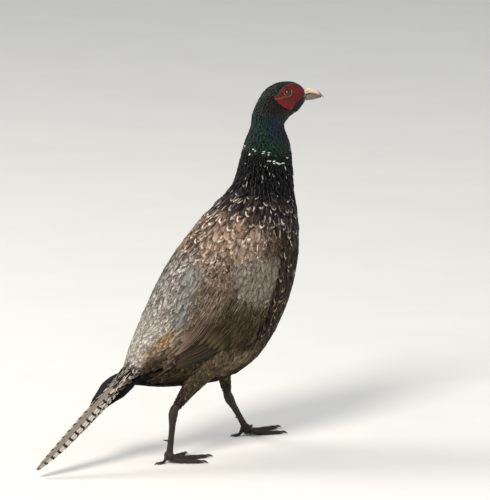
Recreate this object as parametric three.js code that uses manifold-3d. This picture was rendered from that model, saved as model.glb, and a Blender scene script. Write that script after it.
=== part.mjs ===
// A cock common pheasant at life size, standing in mid stride with its head turned to its right.
// Millimetres. +X is the way the body faces, +Y its left side and +Z up. The origin is on the floor, under
// the middle of the bird.
import * as THREE from "three";
import { mergeVertices } from "three/addons/utils/BufferGeometryUtils.js";
import Module from "manifold-3d";

const wasm = await Module();
wasm.setup();

const DEG = Math.PI / 180;
const GAP = 0.3; // between two pieces that touch

// The body's sections from the tail root to the bill root, before the neck turns:
// the back and the belly as [x, z], half the width, and how much wider the back is than the belly.
const SECTIONS = {
  tailRoot: { back: [-140, 130], belly: [-124, 99], half: 15, swell: 0 },
  coverts: { back: [-128, 151], belly: [-92, 93], half: 28, swell: 0 },
  rump: { back: [-111, 174], belly: [-48, 90], half: 43, swell: 0.04 },
  loin: { back: [-93, 200], belly: [4, 91], half: 54, swell: 0.08 },
  waist: { back: [-73, 230], belly: [57, 114], half: 61, swell: 0.08 },
  middle: { back: [-48, 260], belly: [96, 166], half: 64, swell: 0.05 },
  breast: { back: [-14, 293], belly: [116, 225], half: 61, swell: 0 },
  shoulder: { back: [18, 317], belly: [121, 275], half: 52, swell: 0 },
  neckBase: { back: [40, 338], belly: [118, 320], half: 40, swell: 0 },
  ruff: { back: [49, 365], belly: [117, 358], half: 32, swell: 0 },
  neckLow: { back: [56, 390], belly: [114, 388], half: 27, swell: 0 },
  neckMiddle: { back: [63.7, 410], belly: [106.7, 410], half: 20.5, swell: 0 },
  neckTop: { back: [65.7, 426], belly: [111.7, 421], half: 19.5, swell: 0 },
  nape: { back: [72.7, 443], belly: [118.7, 427], half: 19, swell: 0 },
  occiput: { back: [82.7, 458], belly: [123.7, 430], half: 18.5, swell: 0 },
  crown: { back: [97.7, 466.5], belly: [126.7, 433], half: 17.5, swell: 0 },
  brow: { back: [114.7, 468], belly: [129.2, 436.5], half: 14.5, swell: 0 },
  lore: { back: [125.7, 464], belly: [132.2, 440], half: 10, swell: 0 },
  billRoot: { back: [132.7, 458.5], belly: [134.2, 443], half: 6, swell: 0 },
};
const NAMES = Object.keys(SECTIONS);
const AT = Object.fromEntries(NAMES.map((name, i) => [name, i])); // a section's place along the body
const ROUNDNESS = 0.95; // under 1 makes a section fuller than an ellipse

// The neck turns the head about an upright axis.
const HEAD_YAW = -30 * DEG;
const TURN = { from: 8.5, to: 13, x: 85 };

const smoothstep = (x) => {
  const t = Math.min(1, Math.max(0, x));
  return t * t * (3 - 2 * t);
};
const mix = (a, b, t) => a + (b - a) * t;
const vector = (x, y, z) => new THREE.Vector3(x, y, z);

/** A smooth curve through one value list for each section, read at any place s. */
function through(read) {
  const knots = NAMES.map((name) => read(SECTIONS[name]));
  const curve = new THREE.CatmullRomCurve3(knots, false, "catmullrom", 0.5);
  return (s) => curve.getPoint(Math.min(1, Math.max(0, s / (NAMES.length - 1))));
}
const backAt = through(({ back }) => vector(back[0], 0, back[1]));
const bellyAt = through(({ belly }) => vector(belly[0], 0, belly[1]));
const widthAt = through(({ half, swell }) => vector(half, swell, 0));

/** Turns a point about the neck's axis by the share of the head's turn that belongs to place s. */
function turned(point, s) {
  const yaw = HEAD_YAW * smoothstep((s - TURN.from) / (TURN.to - TURN.from));
  const dx = point.x - TURN.x;
  return vector(
    TURN.x + dx * Math.cos(yaw) - point.y * Math.sin(yaw),
    dx * Math.sin(yaw) + point.y * Math.cos(yaw),
    point.z,
  );
}

/** The body's skin at place s and an angle: 0 is the left side, 90 degrees the back, 180 the right side and
 * 270 the belly. */
function skin(s, angle) {
  const back = backAt(s);
  const belly = bellyAt(s);
  const { x: half, y: swell } = widthAt(s);
  const soften = (v) => Math.sign(v) * Math.abs(v) ** ROUNDNESS;
  const side = soften(Math.cos(angle));
  const rise = soften(Math.sin(angle));
  const point = back.clone().add(belly).multiplyScalar(0.5);
  point.addScaledVector(back.sub(belly), rise / 2);
  point.y = half * side * (1 + swell * rise);
  return turned(point, s);
}

/** The way out of the skin at a place. */
function outward(s, angle) {
  const step = 0.02;
  const along = skin(s + step, angle).sub(skin(s - step, angle));
  const round = skin(s, angle + step).sub(skin(s, angle - step));
  return along.cross(round).normalize().negate();
}

/** A point over the body, lift millimetres out of the skin. */
const over = (s, angle, lift = 0) => skin(s, angle).addScaledVector(outward(s, angle), lift);

/** A closed geometry from rings of equal count, or of one point at an end that comes to a tip. */
function loft(rings, endless = false) {
  const positions = [];
  const index = [];
  const starts = rings.map((ring) => {
    const start = positions.length / 3;
    ring.forEach((p) => positions.push(p.x, p.y, p.z));
    return start;
  });
  const sides = Math.max(...rings.map((ring) => ring.length));
  const at = (i, j) => starts[i] + (rings[i].length === 1 ? 0 : j % sides);
  for (let i = 0; i + 1 < rings.length; i += 1) {
    for (let j = 0; j < sides; j += 1) {
      if (rings[i + 1].length > 1) index.push(at(i, j), at(i + 1, j), at(i + 1, j + 1));
      if (rings[i].length > 1) index.push(at(i, j), at(i + 1, j + 1), at(i, j + 1));
    }
  }
  [0, rings.length - 1].forEach((i) => {
    if (endless || rings[i].length === 1) return;
    const middle = rings[i].reduce((sum, p) => sum.add(p), vector(0, 0, 0)).divideScalar(sides);
    const m = positions.length / 3;
    positions.push(middle.x, middle.y, middle.z);
    for (let j = 0; j < sides; j += 1) {
      if (i === 0) index.push(m, at(i, j), at(i, j + 1));
      else index.push(m, at(i, j + 1), at(i, j));
    }
  });
  const geometry = new THREE.BufferGeometry();
  geometry.setAttribute("position", new THREE.Float32BufferAttribute(positions, 3));
  geometry.setIndex(index);
  return geometry;
}

/** A closed geometry as a solid that can be joined and cut. */
function solid(geometry) {
  const bare = geometry.clone();
  bare.deleteAttribute("normal");
  bare.deleteAttribute("uv");
  const merged = mergeVertices(bare, 1e-4);
  const vertProperties = new Float32Array(merged.attributes.position.array);
  const triVerts = new Uint32Array(merged.index.array);
  const made = new wasm.Manifold(new wasm.Mesh({ numProp: 3, vertProperties, triVerts }));
  if (made.volume() > 0) return made;
  for (let i = 0; i < triVerts.length; i += 3) {
    [triVerts[i + 1], triVerts[i + 2]] = [triVerts[i + 2], triVerts[i + 1]];
  }
  return new wasm.Manifold(new wasm.Mesh({ numProp: 3, vertProperties, triVerts }));
}

/** The largest closed surface of a solid, which leaves loose scraps and sealed hollows out. */
const largest = (made) =>
  made.decompose().reduce((best, one) => (one.volume() > best.volume() ? one : best));

/** A solid back as a geometry. */
function geometryOf(made) {
  const { numProp, vertProperties, triVerts } = made.getMesh();
  const positions = new Float32Array((vertProperties.length / numProp) * 3);
  for (let i = 0; i < positions.length / 3; i += 1) {
    positions.set(vertProperties.subarray(i * numProp, i * numProp + 3), i * 3);
  }
  const geometry = new THREE.BufferGeometry();
  geometry.setAttribute("position", new THREE.BufferAttribute(positions, 3));
  geometry.setIndex(new THREE.BufferAttribute(new Uint32Array(triVerts), 1));
  return geometry;
}

const MATERIALS = {
  glossGreen: { color: 0x123a33, roughness: 0.35, metalness: 0.2 },
  darkPlumage: { color: 0x2a2024, roughness: 0.6, metalness: 0.05 },
  bodyPlumage: { color: 0x6b5a49, roughness: 0.8, metalness: 0 },
  wingPlumage: { color: 0x8a7a66, roughness: 0.8, metalness: 0 },
  tailPlumage: { color: 0x7d6a5c, roughness: 0.75, metalness: 0 },
  wattleRed: { color: 0x8d1420, roughness: 0.55, metalness: 0 },
  horn: { color: 0xcdbfa8, roughness: 0.5, metalness: 0 },
  legSkin: { color: 0x6c5f52, roughness: 0.7, metalness: 0 },
  claw: { color: 0x3a302a, roughness: 0.5, metalness: 0 },
  eye: { color: 0x4a2a14, roughness: 0.08, metalness: 0 },
};
const materials = Object.fromEntries(
  Object.entries(MATERIALS).map(([name, values]) => [name, new THREE.MeshStandardMaterial(values)]),
);

const bird = new THREE.Group();
/** Adds a solid to the bird as a named mesh. */
function place(name, made, material) {
  const mesh = new THREE.Mesh(geometryOf(largest(made)), materials[material]);
  mesh.name = name;
  bird.add(mesh);
}

/** The body between two places as a closed loft, lift millimetres out of the skin. */
function bodyPiece(from, to, rings, sides, lift = () => 0) {
  const ring = (s) =>
    Array.from({ length: sides }, (_, j) => {
      const angle = (j / sides) * 2 * Math.PI;
      return over(s, angle, lift(s, angle));
    });
  return loft(Array.from({ length: rings + 1 }, (_, i) => ring(mix(from, to, i / rings))));
}

/** How far along the body a gap is at a place. */
function gapAt(s) {
  const middle = (t) => backAt(t).add(bellyAt(t)).multiplyScalar(0.5);
  return GAP / (middle(s + 0.05).distanceTo(middle(s - 0.05)) / 0.1);
}

/** A ring of points round a centre, wide across the side direction and high along the up direction. */
function ringOf(centre, side, up, wide, high, sides) {
  return Array.from({ length: sides }, (_, j) => {
    const a = ((j + 0.5) / sides) * 2 * Math.PI; // half a step round, so that a flat lies underneath
    return centre.clone().addScaledVector(side, wide * Math.cos(a)).addScaledVector(up, high * Math.sin(a));
  });
}

/** A tapered limb along a curve. radius gives [across, fore and aft] at a share of its length. */
function limb(points, radius, steps, sides, forward = vector(1, 0, 0)) {
  const curve = new THREE.CatmullRomCurve3(points);
  return Array.from({ length: steps + 1 }, (_, i) => {
    const t = i / steps;
    const tangent = curve.getTangentAt(t);
    const side = new THREE.Vector3().crossVectors(tangent, forward).normalize();
    const up = new THREE.Vector3().crossVectors(side, tangent);
    const [across, along] = radius(t);
    return ringOf(curve.getPointAt(t), side, up, across, along, sides);
  });
}

/** A value read from evenly spaced ones, with straight stretches between them. */
function between(values, t) {
  const place = Math.min(values.length - 1.000001, Math.max(0, t * (values.length - 1)));
  const i = Math.floor(place);
  return mix(values[i], values[i + 1], place - i);
}

/** A closed thin piece from rows of points on its top and on its bottom, split alike on both faces. */
function sheet(rows) {
  const n = rows[0].top.length;
  const positions = rows.flatMap(({ top, bottom }) => [...top, ...bottom].flatMap((p) => [p.x, p.y, p.z]));
  const index = [];
  for (let i = 0; i < rows.length; i += 1) {
    const top = i * 2 * n;
    const bottom = top + n;
    const next = 2 * n;
    for (let e = 0; e + 1 < n; e += 1) {
      const a = top + e;
      const b = bottom + e;
      if (i + 1 < rows.length) {
        index.push(a, a + next, a + next + 1, a, a + next + 1, a + 1);
        index.push(b, b + next + 1, b + next, b, b + 1, b + next + 1);
      }
      if (i === 0) index.push(b, a, b + 1, a, a + 1, b + 1);
      if (i + 1 === rows.length) index.push(b, b + 1, a, a, b + 1, a + 1);
    }
    if (i + 1 < rows.length) {
      index.push(bottom, bottom + next, top, top, bottom + next, top + next);
      const [t, b] = [top + n - 1, bottom + n - 1];
      index.push(b, t, b + next, t, t + next, b + next);
    }
  }
  const geometry = new THREE.BufferGeometry();
  geometry.setAttribute("position", new THREE.Float32BufferAttribute(positions, 3));
  geometry.setIndex(index);
  return geometry;
}

const SIDES = { left: 1, right: -1 };
/** The skin's angle at a height, in degrees, above the middle of one side. */
const flank = (side, above) => (side > 0 ? above * DEG : Math.PI - above * DEG);

// A folded wing's outline over the body, as [place along the body, lower edge, upper edge], with the edges in
// degrees above the side.
const WING_OUTLINE = [
  [6.15, 7, 12], [5.75, 0, 32], [5.2, -4, 55], [4.6, -10, 57], [4, -14, 51],
  [3.4, -13, 44], [2.8, -12, 38], [2.2, -11, 30], [1.7, -11, 12], [1.35, -11, -6],
];
// The bed in the body's feathers that a folded wing lies in, deepest under the wing's outline.
const BED = { depth: 8, margin: 7, ramp: 11, front: 6.35, tail: 0.85, rampAlong: 0.55 };
const easy = (v) => {
  const t = Math.min(1, Math.max(0, v));
  return t * t * (3 - 2 * t);
};

/** How deep the wing's bed is at a place on the body. */
function bedAt(s, angle) {
  const above = Math.asin(Math.sin(angle)) / DEG;
  const found = WING_OUTLINE.findIndex(([at]) => at <= s);
  const next = found < 0 ? WING_OUTLINE.length - 1 : Math.max(1, found);
  const [a, b] = [WING_OUTLINE[next - 1], WING_OUTLINE[next]];
  const share = Math.min(1, Math.max(0, (a[0] - s) / (a[0] - b[0])));
  const low = mix(a[1], b[1], share) - BED.margin;
  const high = mix(a[2], b[2], share) + BED.margin;
  const across = easy((above - low + BED.ramp) / BED.ramp) * easy((high + BED.ramp - above) / BED.ramp);
  const front = easy((BED.front + BED.rampAlong - s) / BED.rampAlong);
  const along = front * easy((s - BED.tail + BED.rampAlong) / BED.rampAlong);
  return BED.depth * across * along;
}

// Torso and neck, cut across where a person would name them.
const PARTING = { neckBase: AT.neckBase, collar: 9.6, neckTop: AT.neckTop };
const torsoGrown = (grown) =>
  solid(bodyPiece(AT.tailRoot, PARTING.neckBase, 22, 36, (s, angle) => grown - bedAt(s, angle)));
const torso = torsoGrown(0);
place("torso", torso, "bodyPlumage");
const torsoRoom = torsoGrown(GAP);
const coatRoom = solid(bodyPiece(AT.tailRoot, PARTING.neckBase, 22, 36, () => GAP));
place("neck_lower", solid(bodyPiece(PARTING.neckBase + gapAt(8), PARTING.collar, 5, 24)), "darkPlumage");
place("neck_upper", solid(bodyPiece(PARTING.collar + gapAt(9.6), PARTING.neckTop, 7, 24)), "glossGreen");

// Head
const HEAD = { x: 109.7, z: 454 }; // its own origin, before the neck turns
/** A point given in the head's own frame: forward, left and up from its origin. */
const inHead = (x, y, z) => turned(vector(HEAD.x + x, y, HEAD.z + z), NAMES.length);
const EYE = { at: 15.2, above: 20, radius: 6, sunk: 3.9, lidHole: 4.3 };
const eyeCentre = (side) => over(EYE.at, flank(side, EYE.above), -EYE.sunk);
/** The eyeball, grown by a clearance. */
function eyeball(side, clearance = 0) {
  const ball = new THREE.SphereGeometry(EYE.radius + clearance, 12, 8);
  const centre = eyeCentre(side);
  ball.translate(centre.x, centre.y, centre.z);
  return solid(ball);
}

const MOUTH = { corner: [17.8, -7.4], end: [25, -2.6], reach: 4, thick: 0.7 };
/** The cut of the mouth line behind the bill, on one side. */
function mouthLine(side) {
  const ring = ([x, z], y) => {
    const half = MOUTH.thick / 2;
    const deep = side * 14;
    const low = z - half;
    const high = z + half;
    return [inHead(x, y, low), inHead(x, y, high), inHead(x, deep, high), inHead(x, deep, low)];
  };
  const corner = ring(MOUTH.corner, side * 10.5);
  const middle = ring([21.5, -5.2], side * 7.2);
  const end = ring(MOUTH.end, side * 4.5);
  return solid(loft([corner, middle, end]));
}

let head = solid(bodyPiece(PARTING.neckTop + gapAt(12), AT.billRoot, 18, 24));
Object.values(SIDES).forEach((side) => {
  head = head.subtract(eyeball(side, GAP)).subtract(mouthLine(side));
});
place("head", head, "glossGreen");
Object.entries(SIDES).forEach(([name, side]) => place(`eye_${name}`, eyeball(side), "eye"));

// The red skin of the face, as [place along the body, degrees above the side].
const WATTLE_OUTLINE = [
  [15.5, 57], [15.85, 64], [16.55, 68], [17.4, 66], [17.85, 50], [17.6, 13], [16.55, -17],
  [14.95, -27], [13.8, -37], [13.5, -21], [13.65, 5], [13.9, 31], [14.4, 32], [14.9, 42],
];
const WATTLE = { around: 26, lidRings: [4.3, 5.2, 6.3], lidLifts: [1.2, 2.1, 1.1], outer: 5, rim: 0.6 };

/** The place on the head's skin that is dx forward and dz up from another one. */
function slide(s, above, side, dx, dz) {
  const step = 0.05;
  const straight = (a, b) => {
    const p = skin(a, flank(side, b)).sub(inHead(0, 0, 0));
    return [p.dot(vector(Math.cos(HEAD_YAW), Math.sin(HEAD_YAW), 0)), p.z];
  };
  const base = straight(s, above);
  const alongStep = straight(s + step, above).map((v, i) => (v - base[i]) / step);
  const roundStep = straight(s, above + 1).map((v, i) => v - base[i]);
  const det = alongStep[0] * roundStep[1] - alongStep[1] * roundStep[0];
  return [
    s + (dx * roundStep[1] - dz * roundStep[0]) / det,
    above + (alongStep[0] * dz - alongStep[1] * dx) / det,
  ];
}

/** The height of the wattle's folds and bulbs at a place forward and up from the head's origin. */
function wattleLift(x, z, share) {
  const bulbs = 0.35 * Math.sin(x * 1.25 + z * 0.4) * Math.sin(z * 1.25);
  const lobe = 1.7 * Math.exp(-((x - 2) ** 2 + (z + 13) ** 2) / 45);
  const fold = -0.5 * Math.exp(-((z + 3.5 - 0.25 * (x + 8)) ** 2) / 1.5) * (x < 0 ? 1 : 0);
  return WATTLE.rim + (1 - share ** 3) * (1 + bulbs + lobe + fold);
}

function wattle(side) {
  const corners = WATTLE_OUTLINE.map(([s, above]) => vector(s, above / 20, 0));
  const outline = new THREE.CatmullRomCurve3(corners, true);
  const toHead = (point) => {
    const p = point.clone().sub(inHead(0, 0, 0));
    return [p.dot(vector(Math.cos(HEAD_YAW), Math.sin(HEAD_YAW), 0)), p.z];
  };
  const eye = toHead(skin(EYE.at, flank(side, EYE.above)));
  const loops = Array.from({ length: WATTLE.around }, (_, i) => {
    const rim = outline.getPoint(i / WATTLE.around);
    const rimPlace = [rim.x, rim.y * 20];
    const rimPoint = toHead(skin(rimPlace[0], flank(side, rimPlace[1])));
    const way = [rimPoint[0] - eye[0], rimPoint[1] - eye[1]];
    const far = Math.hypot(way[0], way[1]);
    const places = WATTLE.lidRings.map((radius, k) => {
      const [s, above] = slide(EYE.at, EYE.above, side, (way[0] / far) * radius, (way[1] / far) * radius);
      return { s, above, lift: WATTLE.lidLifts[k] };
    });
    const start = places[places.length - 1];
    for (let k = 1; k <= WATTLE.outer; k += 1) {
      const share = k / WATTLE.outer;
      const s = mix(start.s, rimPlace[0], share);
      const above = mix(start.above, rimPlace[1], share);
      const [x, z] = toHead(skin(s, flank(side, above)));
      places.push({ s, above, lift: wattleLift(x, z, share) });
    }
    const top = places.map(({ s, above, lift }) => over(s, flank(side, above), lift + GAP));
    const bottom = places.map(({ s, above }) => over(s, flank(side, above), GAP)).reverse();
    return [...top, ...bottom];
  });
  return solid(loft([...loops, loops[0]], true)).subtract(eyeball(side, GAP));
}
Object.entries(SIDES).forEach(([name, side]) => place(`wattle_${name}`, wattle(side), "wattleRed"));

// Bill: the upper half's culmen, the cutting edge that both share, the lower half's keel, and half widths.
const BILL = {
  root: 23.3, rootSlant: 0.097, rootTop: 4.5,
  upperEnd: 48.4, lowerEnd: 45,
  culmen: [4.3, 5.2, 5.2, 4.6, 3.3, 1.2, -2.4, -7.6],
  edge: [-3.6, -1.6, -1.2, -1.7, -2.6, -3.8, -5.4, -8.2],
  keel: [-10.6, -10.7, -10.4, -9.9, -9.1, -8.2, -7.3, -6.4],
  half: [5.8, 5.6, 5.2, 4.6, 3.8, 2.8, 1.7, 0.5],
};
const alongBill = (x) => (x - BILL.root) / (BILL.upperEnd - BILL.root);
/** A half of the bill between two heights that are read at a place forward. */
function billHalf(end, topAt, bottomAt, widthShare) {
  const rings = 9;
  const sides = 12;
  return loft(
    Array.from({ length: rings }, (_, i) => {
      const x = mix(BILL.root, end, (i / (rings - 1)) ** 0.9);
      const [top, bottom] = [topAt(x), bottomAt(x)];
      const half = between(BILL.half, alongBill(x)) * widthShare(x);
      return Array.from({ length: sides }, (_, j) => {
        const a = (j / sides) * 2 * Math.PI;
        const rise = Math.sign(Math.sin(a)) * Math.abs(Math.sin(a)) ** 0.8;
        const z = (top + bottom) / 2 + ((top - bottom) / 2) * rise;
        const slant = BILL.rootSlant * (BILL.rootTop - z) * (1 - alongBill(x));
        return inHead(x + GAP + slant, half * Math.cos(a), z);
      });
    }),
  );
}
const culmenAt = (x) => between(BILL.culmen, alongBill(x));
const edgeAt = (x) => between(BILL.edge, alongBill(x));
const keelAt = (x) => Math.min(between(BILL.keel, alongBill(x)), edgeAt(x) - 0.9);
const NOSTRIL = { at: [27.2, 4.6, 1.6], size: [2.1, 1.6, 0.75] };
/** A nostril's slit on one side. */
function nostril(side) {
  const slit = new THREE.SphereGeometry(1, 10, 8);
  slit.scale(...NOSTRIL.size);
  slit.rotateZ(HEAD_YAW);
  const centre = inHead(NOSTRIL.at[0], side * NOSTRIL.at[1], NOSTRIL.at[2]);
  slit.translate(centre.x, centre.y, centre.z);
  return solid(slit);
}
let upperBill = solid(billHalf(BILL.upperEnd, culmenAt, edgeAt, () => 1));
Object.values(SIDES).forEach((side) => {
  upperBill = upperBill.subtract(nostril(side));
});
place("bill_upper", upperBill, "horn");
const lowerBill = solid(billHalf(BILL.lowerEnd, (x) => edgeAt(x) - GAP, keelAt, () => 0.9));
place("bill_lower", lowerBill, "horn");

// Legs. The right foot trails and the left one leads.
const LEGS = {
  right: { knee: [-18, 32, 142], thigh: [-46, 31, 112], heel: [-91, 32, 67], hub: [-99, 32, 9], toeOut: 8 },
  left: { knee: [18, 32, 158], thigh: [34, 31, 106], heel: [46, 32, 57], hub: [76, 32, 9], toeOut: 6 },
};
const THIGH_RADII = [[21, 27], [18, 23], [13, 15], [8, 9.5], [5.4, 6.2]];
const SHANK = {
  length: 7,
  scutes: 11,
  step: 0.35,
  radii: [[4.6, 5.2], [5.3, 6.4], [3.7, 4.4], [3.3, 3.9], [3.5, 4.1], [4.6, 4.6]],
};
const HUB = { across: 8.2, along: 6, high: 6.4 };
const SPUR = { at: 0.68, length: 8, radius: 2.1 };
const TOES = {
  hallux: { turn: 172, start: [-4.5, 2], length: 13, radii: [2.6, 2, 2], high: 9, claw: 7 },
  inner: { turn: 30, start: [1.5, 6.2], length: 36, radii: [3.4, 3.1, 2.6], high: 6, claw: 9.5 },
  middle: { turn: 0, start: [3.5, 0], length: 50, radii: [3.6, 3.4, 2.7], high: 6, claw: 11 },
  outer: { turn: -30, start: [1.5, -6.2], length: 41, radii: [3.4, 3.1, 2.6], high: 6, claw: 9.5 },
};
const SOLE_DEPTH = 0.55; // how much of a toe's round underside its flat sole takes

/** Sets every point below the floor on the floor, which makes a flat sole. */
function rested(rings) {
  rings.forEach((ring) => ring.forEach((p) => p.setZ(Math.max(0, p.z))));
  return rings;
}

/** An ellipsoid round a centre, turned about the upright axis. */
function bulb(centre, [along, across, high], turn = 0) {
  const shape = new THREE.SphereGeometry(1, 10, 8);
  shape.rotateX(Math.PI / 2);
  shape.scale(along, across, high);
  shape.rotateZ(turn);
  shape.translate(centre.x, centre.y, centre.z);
  return solid(shape);
}

function leg(name, { knee, thigh, heel, hub, toeOut }) {
  const side = SIDES[name];
  const joints = [knee, thigh, heel, hub].map(([x, y, z]) => vector(x, side * y, z));
  const [kneeAt, thighAt, heelAt, hubAt] = joints;
  const shin = heelAt.clone().sub(thighAt).normalize();
  const ankle = heelAt.clone().addScaledVector(shin, -SHANK.length);
  const thighRadius = (t) => [0, 1].map((k) => between(THIGH_RADII.map((pair) => pair[k]), t));
  const thighEnd = ankle.clone().addScaledVector(shin, -GAP);
  const drum = solid(loft(limb([kneeAt, thighAt, thighEnd], thighRadius, 9, 16)));
  place(`thigh_${name}`, drum.subtract(coatRoom).subtract(torsoRoom), "bodyPlumage");

  const shankRadius = (t) => {
    const scute = SHANK.step * ((t * SHANK.scutes) % 1);
    return [0, 1].map((k) => between(SHANK.radii.map((pair) => pair[k]), t) + scute);
  };
  const shankLine = [ankle, heelAt, heelAt.clone().lerp(hubAt, 0.5), hubAt];
  const shank = solid(loft(limb(shankLine, shankRadius, 22, 8)));
  const heading = side * toeOut * DEG;
  const room = (clearance) =>
    bulb(hubAt, [HUB.along + clearance, HUB.across + clearance, HUB.high + clearance], heading);
  const spurRoot = heelAt.clone().lerp(hubAt, SPUR.at);
  const spurTip = spurRoot.clone().add(vector(-SPUR.length - 3, -side * 2.5, 2.5));
  const spurRadius = (t) => [SPUR.radius * (1 - t * 0.85), SPUR.radius * (1 - t * 0.85)];
  const spur = solid(loft(limb([spurRoot, spurTip], spurRadius, 3, 7, vector(0, 0, 1))));
  place(`shank_${name}`, shank.add(room(0)).add(spur), "legSkin");

  const grownRadius = (t) => shankRadius(t).map((r) => r + GAP);
  const shankRoom = solid(loft(limb(shankLine, grownRadius, 22, 8))).add(room(GAP));
  Object.entries(TOES).forEach(([toe, { turn, start, length, radii, high, claw }]) => {
    const angle = heading + side * turn * DEG;
    const way = vector(Math.cos(angle), Math.sin(angle), 0);
    const offset = vector(start[0], side * start[1], 0).applyAxisAngle(vector(0, 0, 1), heading);
    const root = hubAt.clone().add(offset);
    root.z = high;
    const joint = (share, z) => root.clone().addScaledVector(way, length * share).setZ(z);
    const low = radii.map((r) => r - SOLE_DEPTH);
    const spine = [root, joint(0.28, mix(high, low[0], 0.8)), joint(0.6, low[1]), joint(1, low[2])];
    const knuckles = toe === "hallux" ? 1 : 3;
    const toeRadius = (t) => {
      const r = between(radii, t) * (1 + 0.09 * Math.cos(t * knuckles * 2 * Math.PI));
      return [r, r];
    };
    const rings = rested(limb(spine, toeRadius, toe === "hallux" ? 4 : 8, 8, vector(0, 0, 1)));
    place(`toe_${name}_${toe}`, solid(loft(rings)).subtract(shankRoom), "legSkin");
    const tip = radii[2];
    const nail = [
      joint(1, low[2]).addScaledVector(way, GAP),
      joint(1, low[2] + 0.5).addScaledVector(way, claw * 0.5),
      joint(1, 0.7).addScaledVector(way, claw),
    ];
    const nailRadius = (t) => [tip * 0.62 * (1 - 0.85 * t), tip * 0.72 * (1 - 0.8 * t)];
    place(`claw_${name}_${toe}`, solid(loft(rested(limb(nail, nailRadius, 3, 6, vector(0, 0, 1))))), "claw");
  });
}
Object.entries(LEGS).forEach(([name, sizes]) => leg(name, sizes));

// The folded arm lies under the feathers, from the front of the wing to this share of its outline.
const ARM = { rise: 1.6, edge: 0.9, end: 0.8, across: 6, along: 8, sunk: 1.5 };
// The tiers of vanes from the lowest up. Each runs from its lowest vane to its highest one, and gives where
// those two are rooted and where they end, half a vane's width, how far the tier lies out of the skin, and how
// far a vane's lower edge stands over the next vane below it.
const WING_TIERS = {
  primaries: {
    count: 5, half: 4.6, lift: -5.7, shingle: 0.6,
    root: [[3.2, -9], [3.4, 12]], tip: [[1.15, -12], [1.6, 10]],
  },
  secondaries: {
    count: 6, half: 7.6, lift: -3.6, shingle: 0.6,
    root: [[4.6, -8], [4.9, 44]], tip: [[2.5, -11], [2.15, 30]],
  },
  greaterCoverts: {
    count: 6, half: 7.4, lift: -1.6, shingle: 0.6,
    root: [[5, -3], [5.1, 46]], tip: [[3.85, -11], [3.5, 40]],
  },
  medianCoverts: {
    count: 5, half: 7.4, lift: -0.1, shingle: 0.45,
    root: [[5.4, 2], [5.4, 36]], tip: [[4.55, -8], [4.3, 38]],
  },
  scapulars: {
    count: 4, half: 6.6, lift: 0, shingle: 0.4,
    root: [[5.3, 38], [5.2, 56]], tip: [[3.1, 33], [3.7, 50]],
  },
};
const VANE = { thick: 0.6, stations: [0, 0.35, 0.75, 1], widths: [0.6, 1, 0.95, 0.35], rootLift: -6.1 };
const wingCorners = WING_OUTLINE.map(([s, low, high]) => vector(s, low / 20, high / 20));
const wingOutline = new THREE.CatmullRomCurve3(wingCorners);

/** The wing's lower and upper edge at a share of its outline, and the place along the body there. */
function wingEdges(share) {
  const { x: s, y: low, z: high } = wingOutline.getPoint(Math.min(1, Math.max(0, share)));
  return { s, low: low * 20, high: high * 20 };
}

/** How far the arm's surface stands out of the skin, at a share along the wing and across it. */
function armLift(along, across) {
  const crown = Math.sin(Math.PI * Math.min(1, Math.max(0, across))) ** 0.7;
  const swell = Math.sin(Math.PI * mix(0.15, 0.9, Math.min(1, along)));
  return GAP + ARM.edge + ARM.rise * crown * swell - BED.depth;
}

/** A vane of a wing's tier from its root to its tip, each given as [place along the body, degrees above the
 * side]. */
function wingVane(side, root, tip, { half, lift, shingle }) {
  const lines = VANE.stations.map((t) => {
    const s = mix(root[0], tip[0], t);
    const angle = flank(side, mix(root[1], tip[1], t));
    return { at: over(s, angle, t === 0 ? VANE.rootLift : lift), out: outward(s, angle) };
  });
  const rows = lines.map(({ at, out }, i) => {
    const [before, after] = [lines[Math.max(i - 1, 0)], lines[Math.min(i + 1, lines.length - 1)]];
    const way = after.at.clone().sub(before.at).normalize();
    const wide = new THREE.Vector3().crossVectors(way, out).normalize();
    const up = new THREE.Vector3().crossVectors(wide, way);
    const edge = (e, face) =>
      at.clone()
        .addScaledVector(wide, e * half * VANE.widths[i])
        .addScaledVector(up, face * (VANE.thick / 2) + e * side * shingle * VANE.widths[i]);
    return { top: [edge(-1, 1), edge(1, 1)], bottom: [edge(-1, -1), edge(1, -1)] };
  });
  return solid(sheet(rows));
}

function wing(side) {
  const rows = Array.from({ length: ARM.along + 1 }, (_, i) => {
    const share = (i / ARM.along) * ARM.end;
    const { s, low, high } = wingEdges(share);
    const places = Array.from({ length: ARM.across + 1 }, (__, j) => j / ARM.across);
    return {
      top: places.map((v) => over(s, flank(side, mix(low, high, v)), armLift(share, v))),
      bottom: places.map((v) => over(s, flank(side, mix(low, high, v)), -ARM.sunk - BED.depth)),
    };
  });
  const vanes = Object.values(WING_TIERS).flatMap((tier) =>
    Array.from({ length: tier.count }, (_, i) => {
      const t = i / (tier.count - 1);
      const placeOf = ([first, last]) => first.map((v, k) => mix(v, last[k], t));
      return wingVane(side, placeOf(tier.root), placeOf(tier.tip), tier);
    }),
  );
  return vanes.reduce((made, vane) => made.add(vane), solid(sheet(rows))).subtract(torsoRoom);
}
Object.entries(SIDES).forEach(([name, side]) => place(`wing_${name}`, wing(side), "wingPlumage"));

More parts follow.
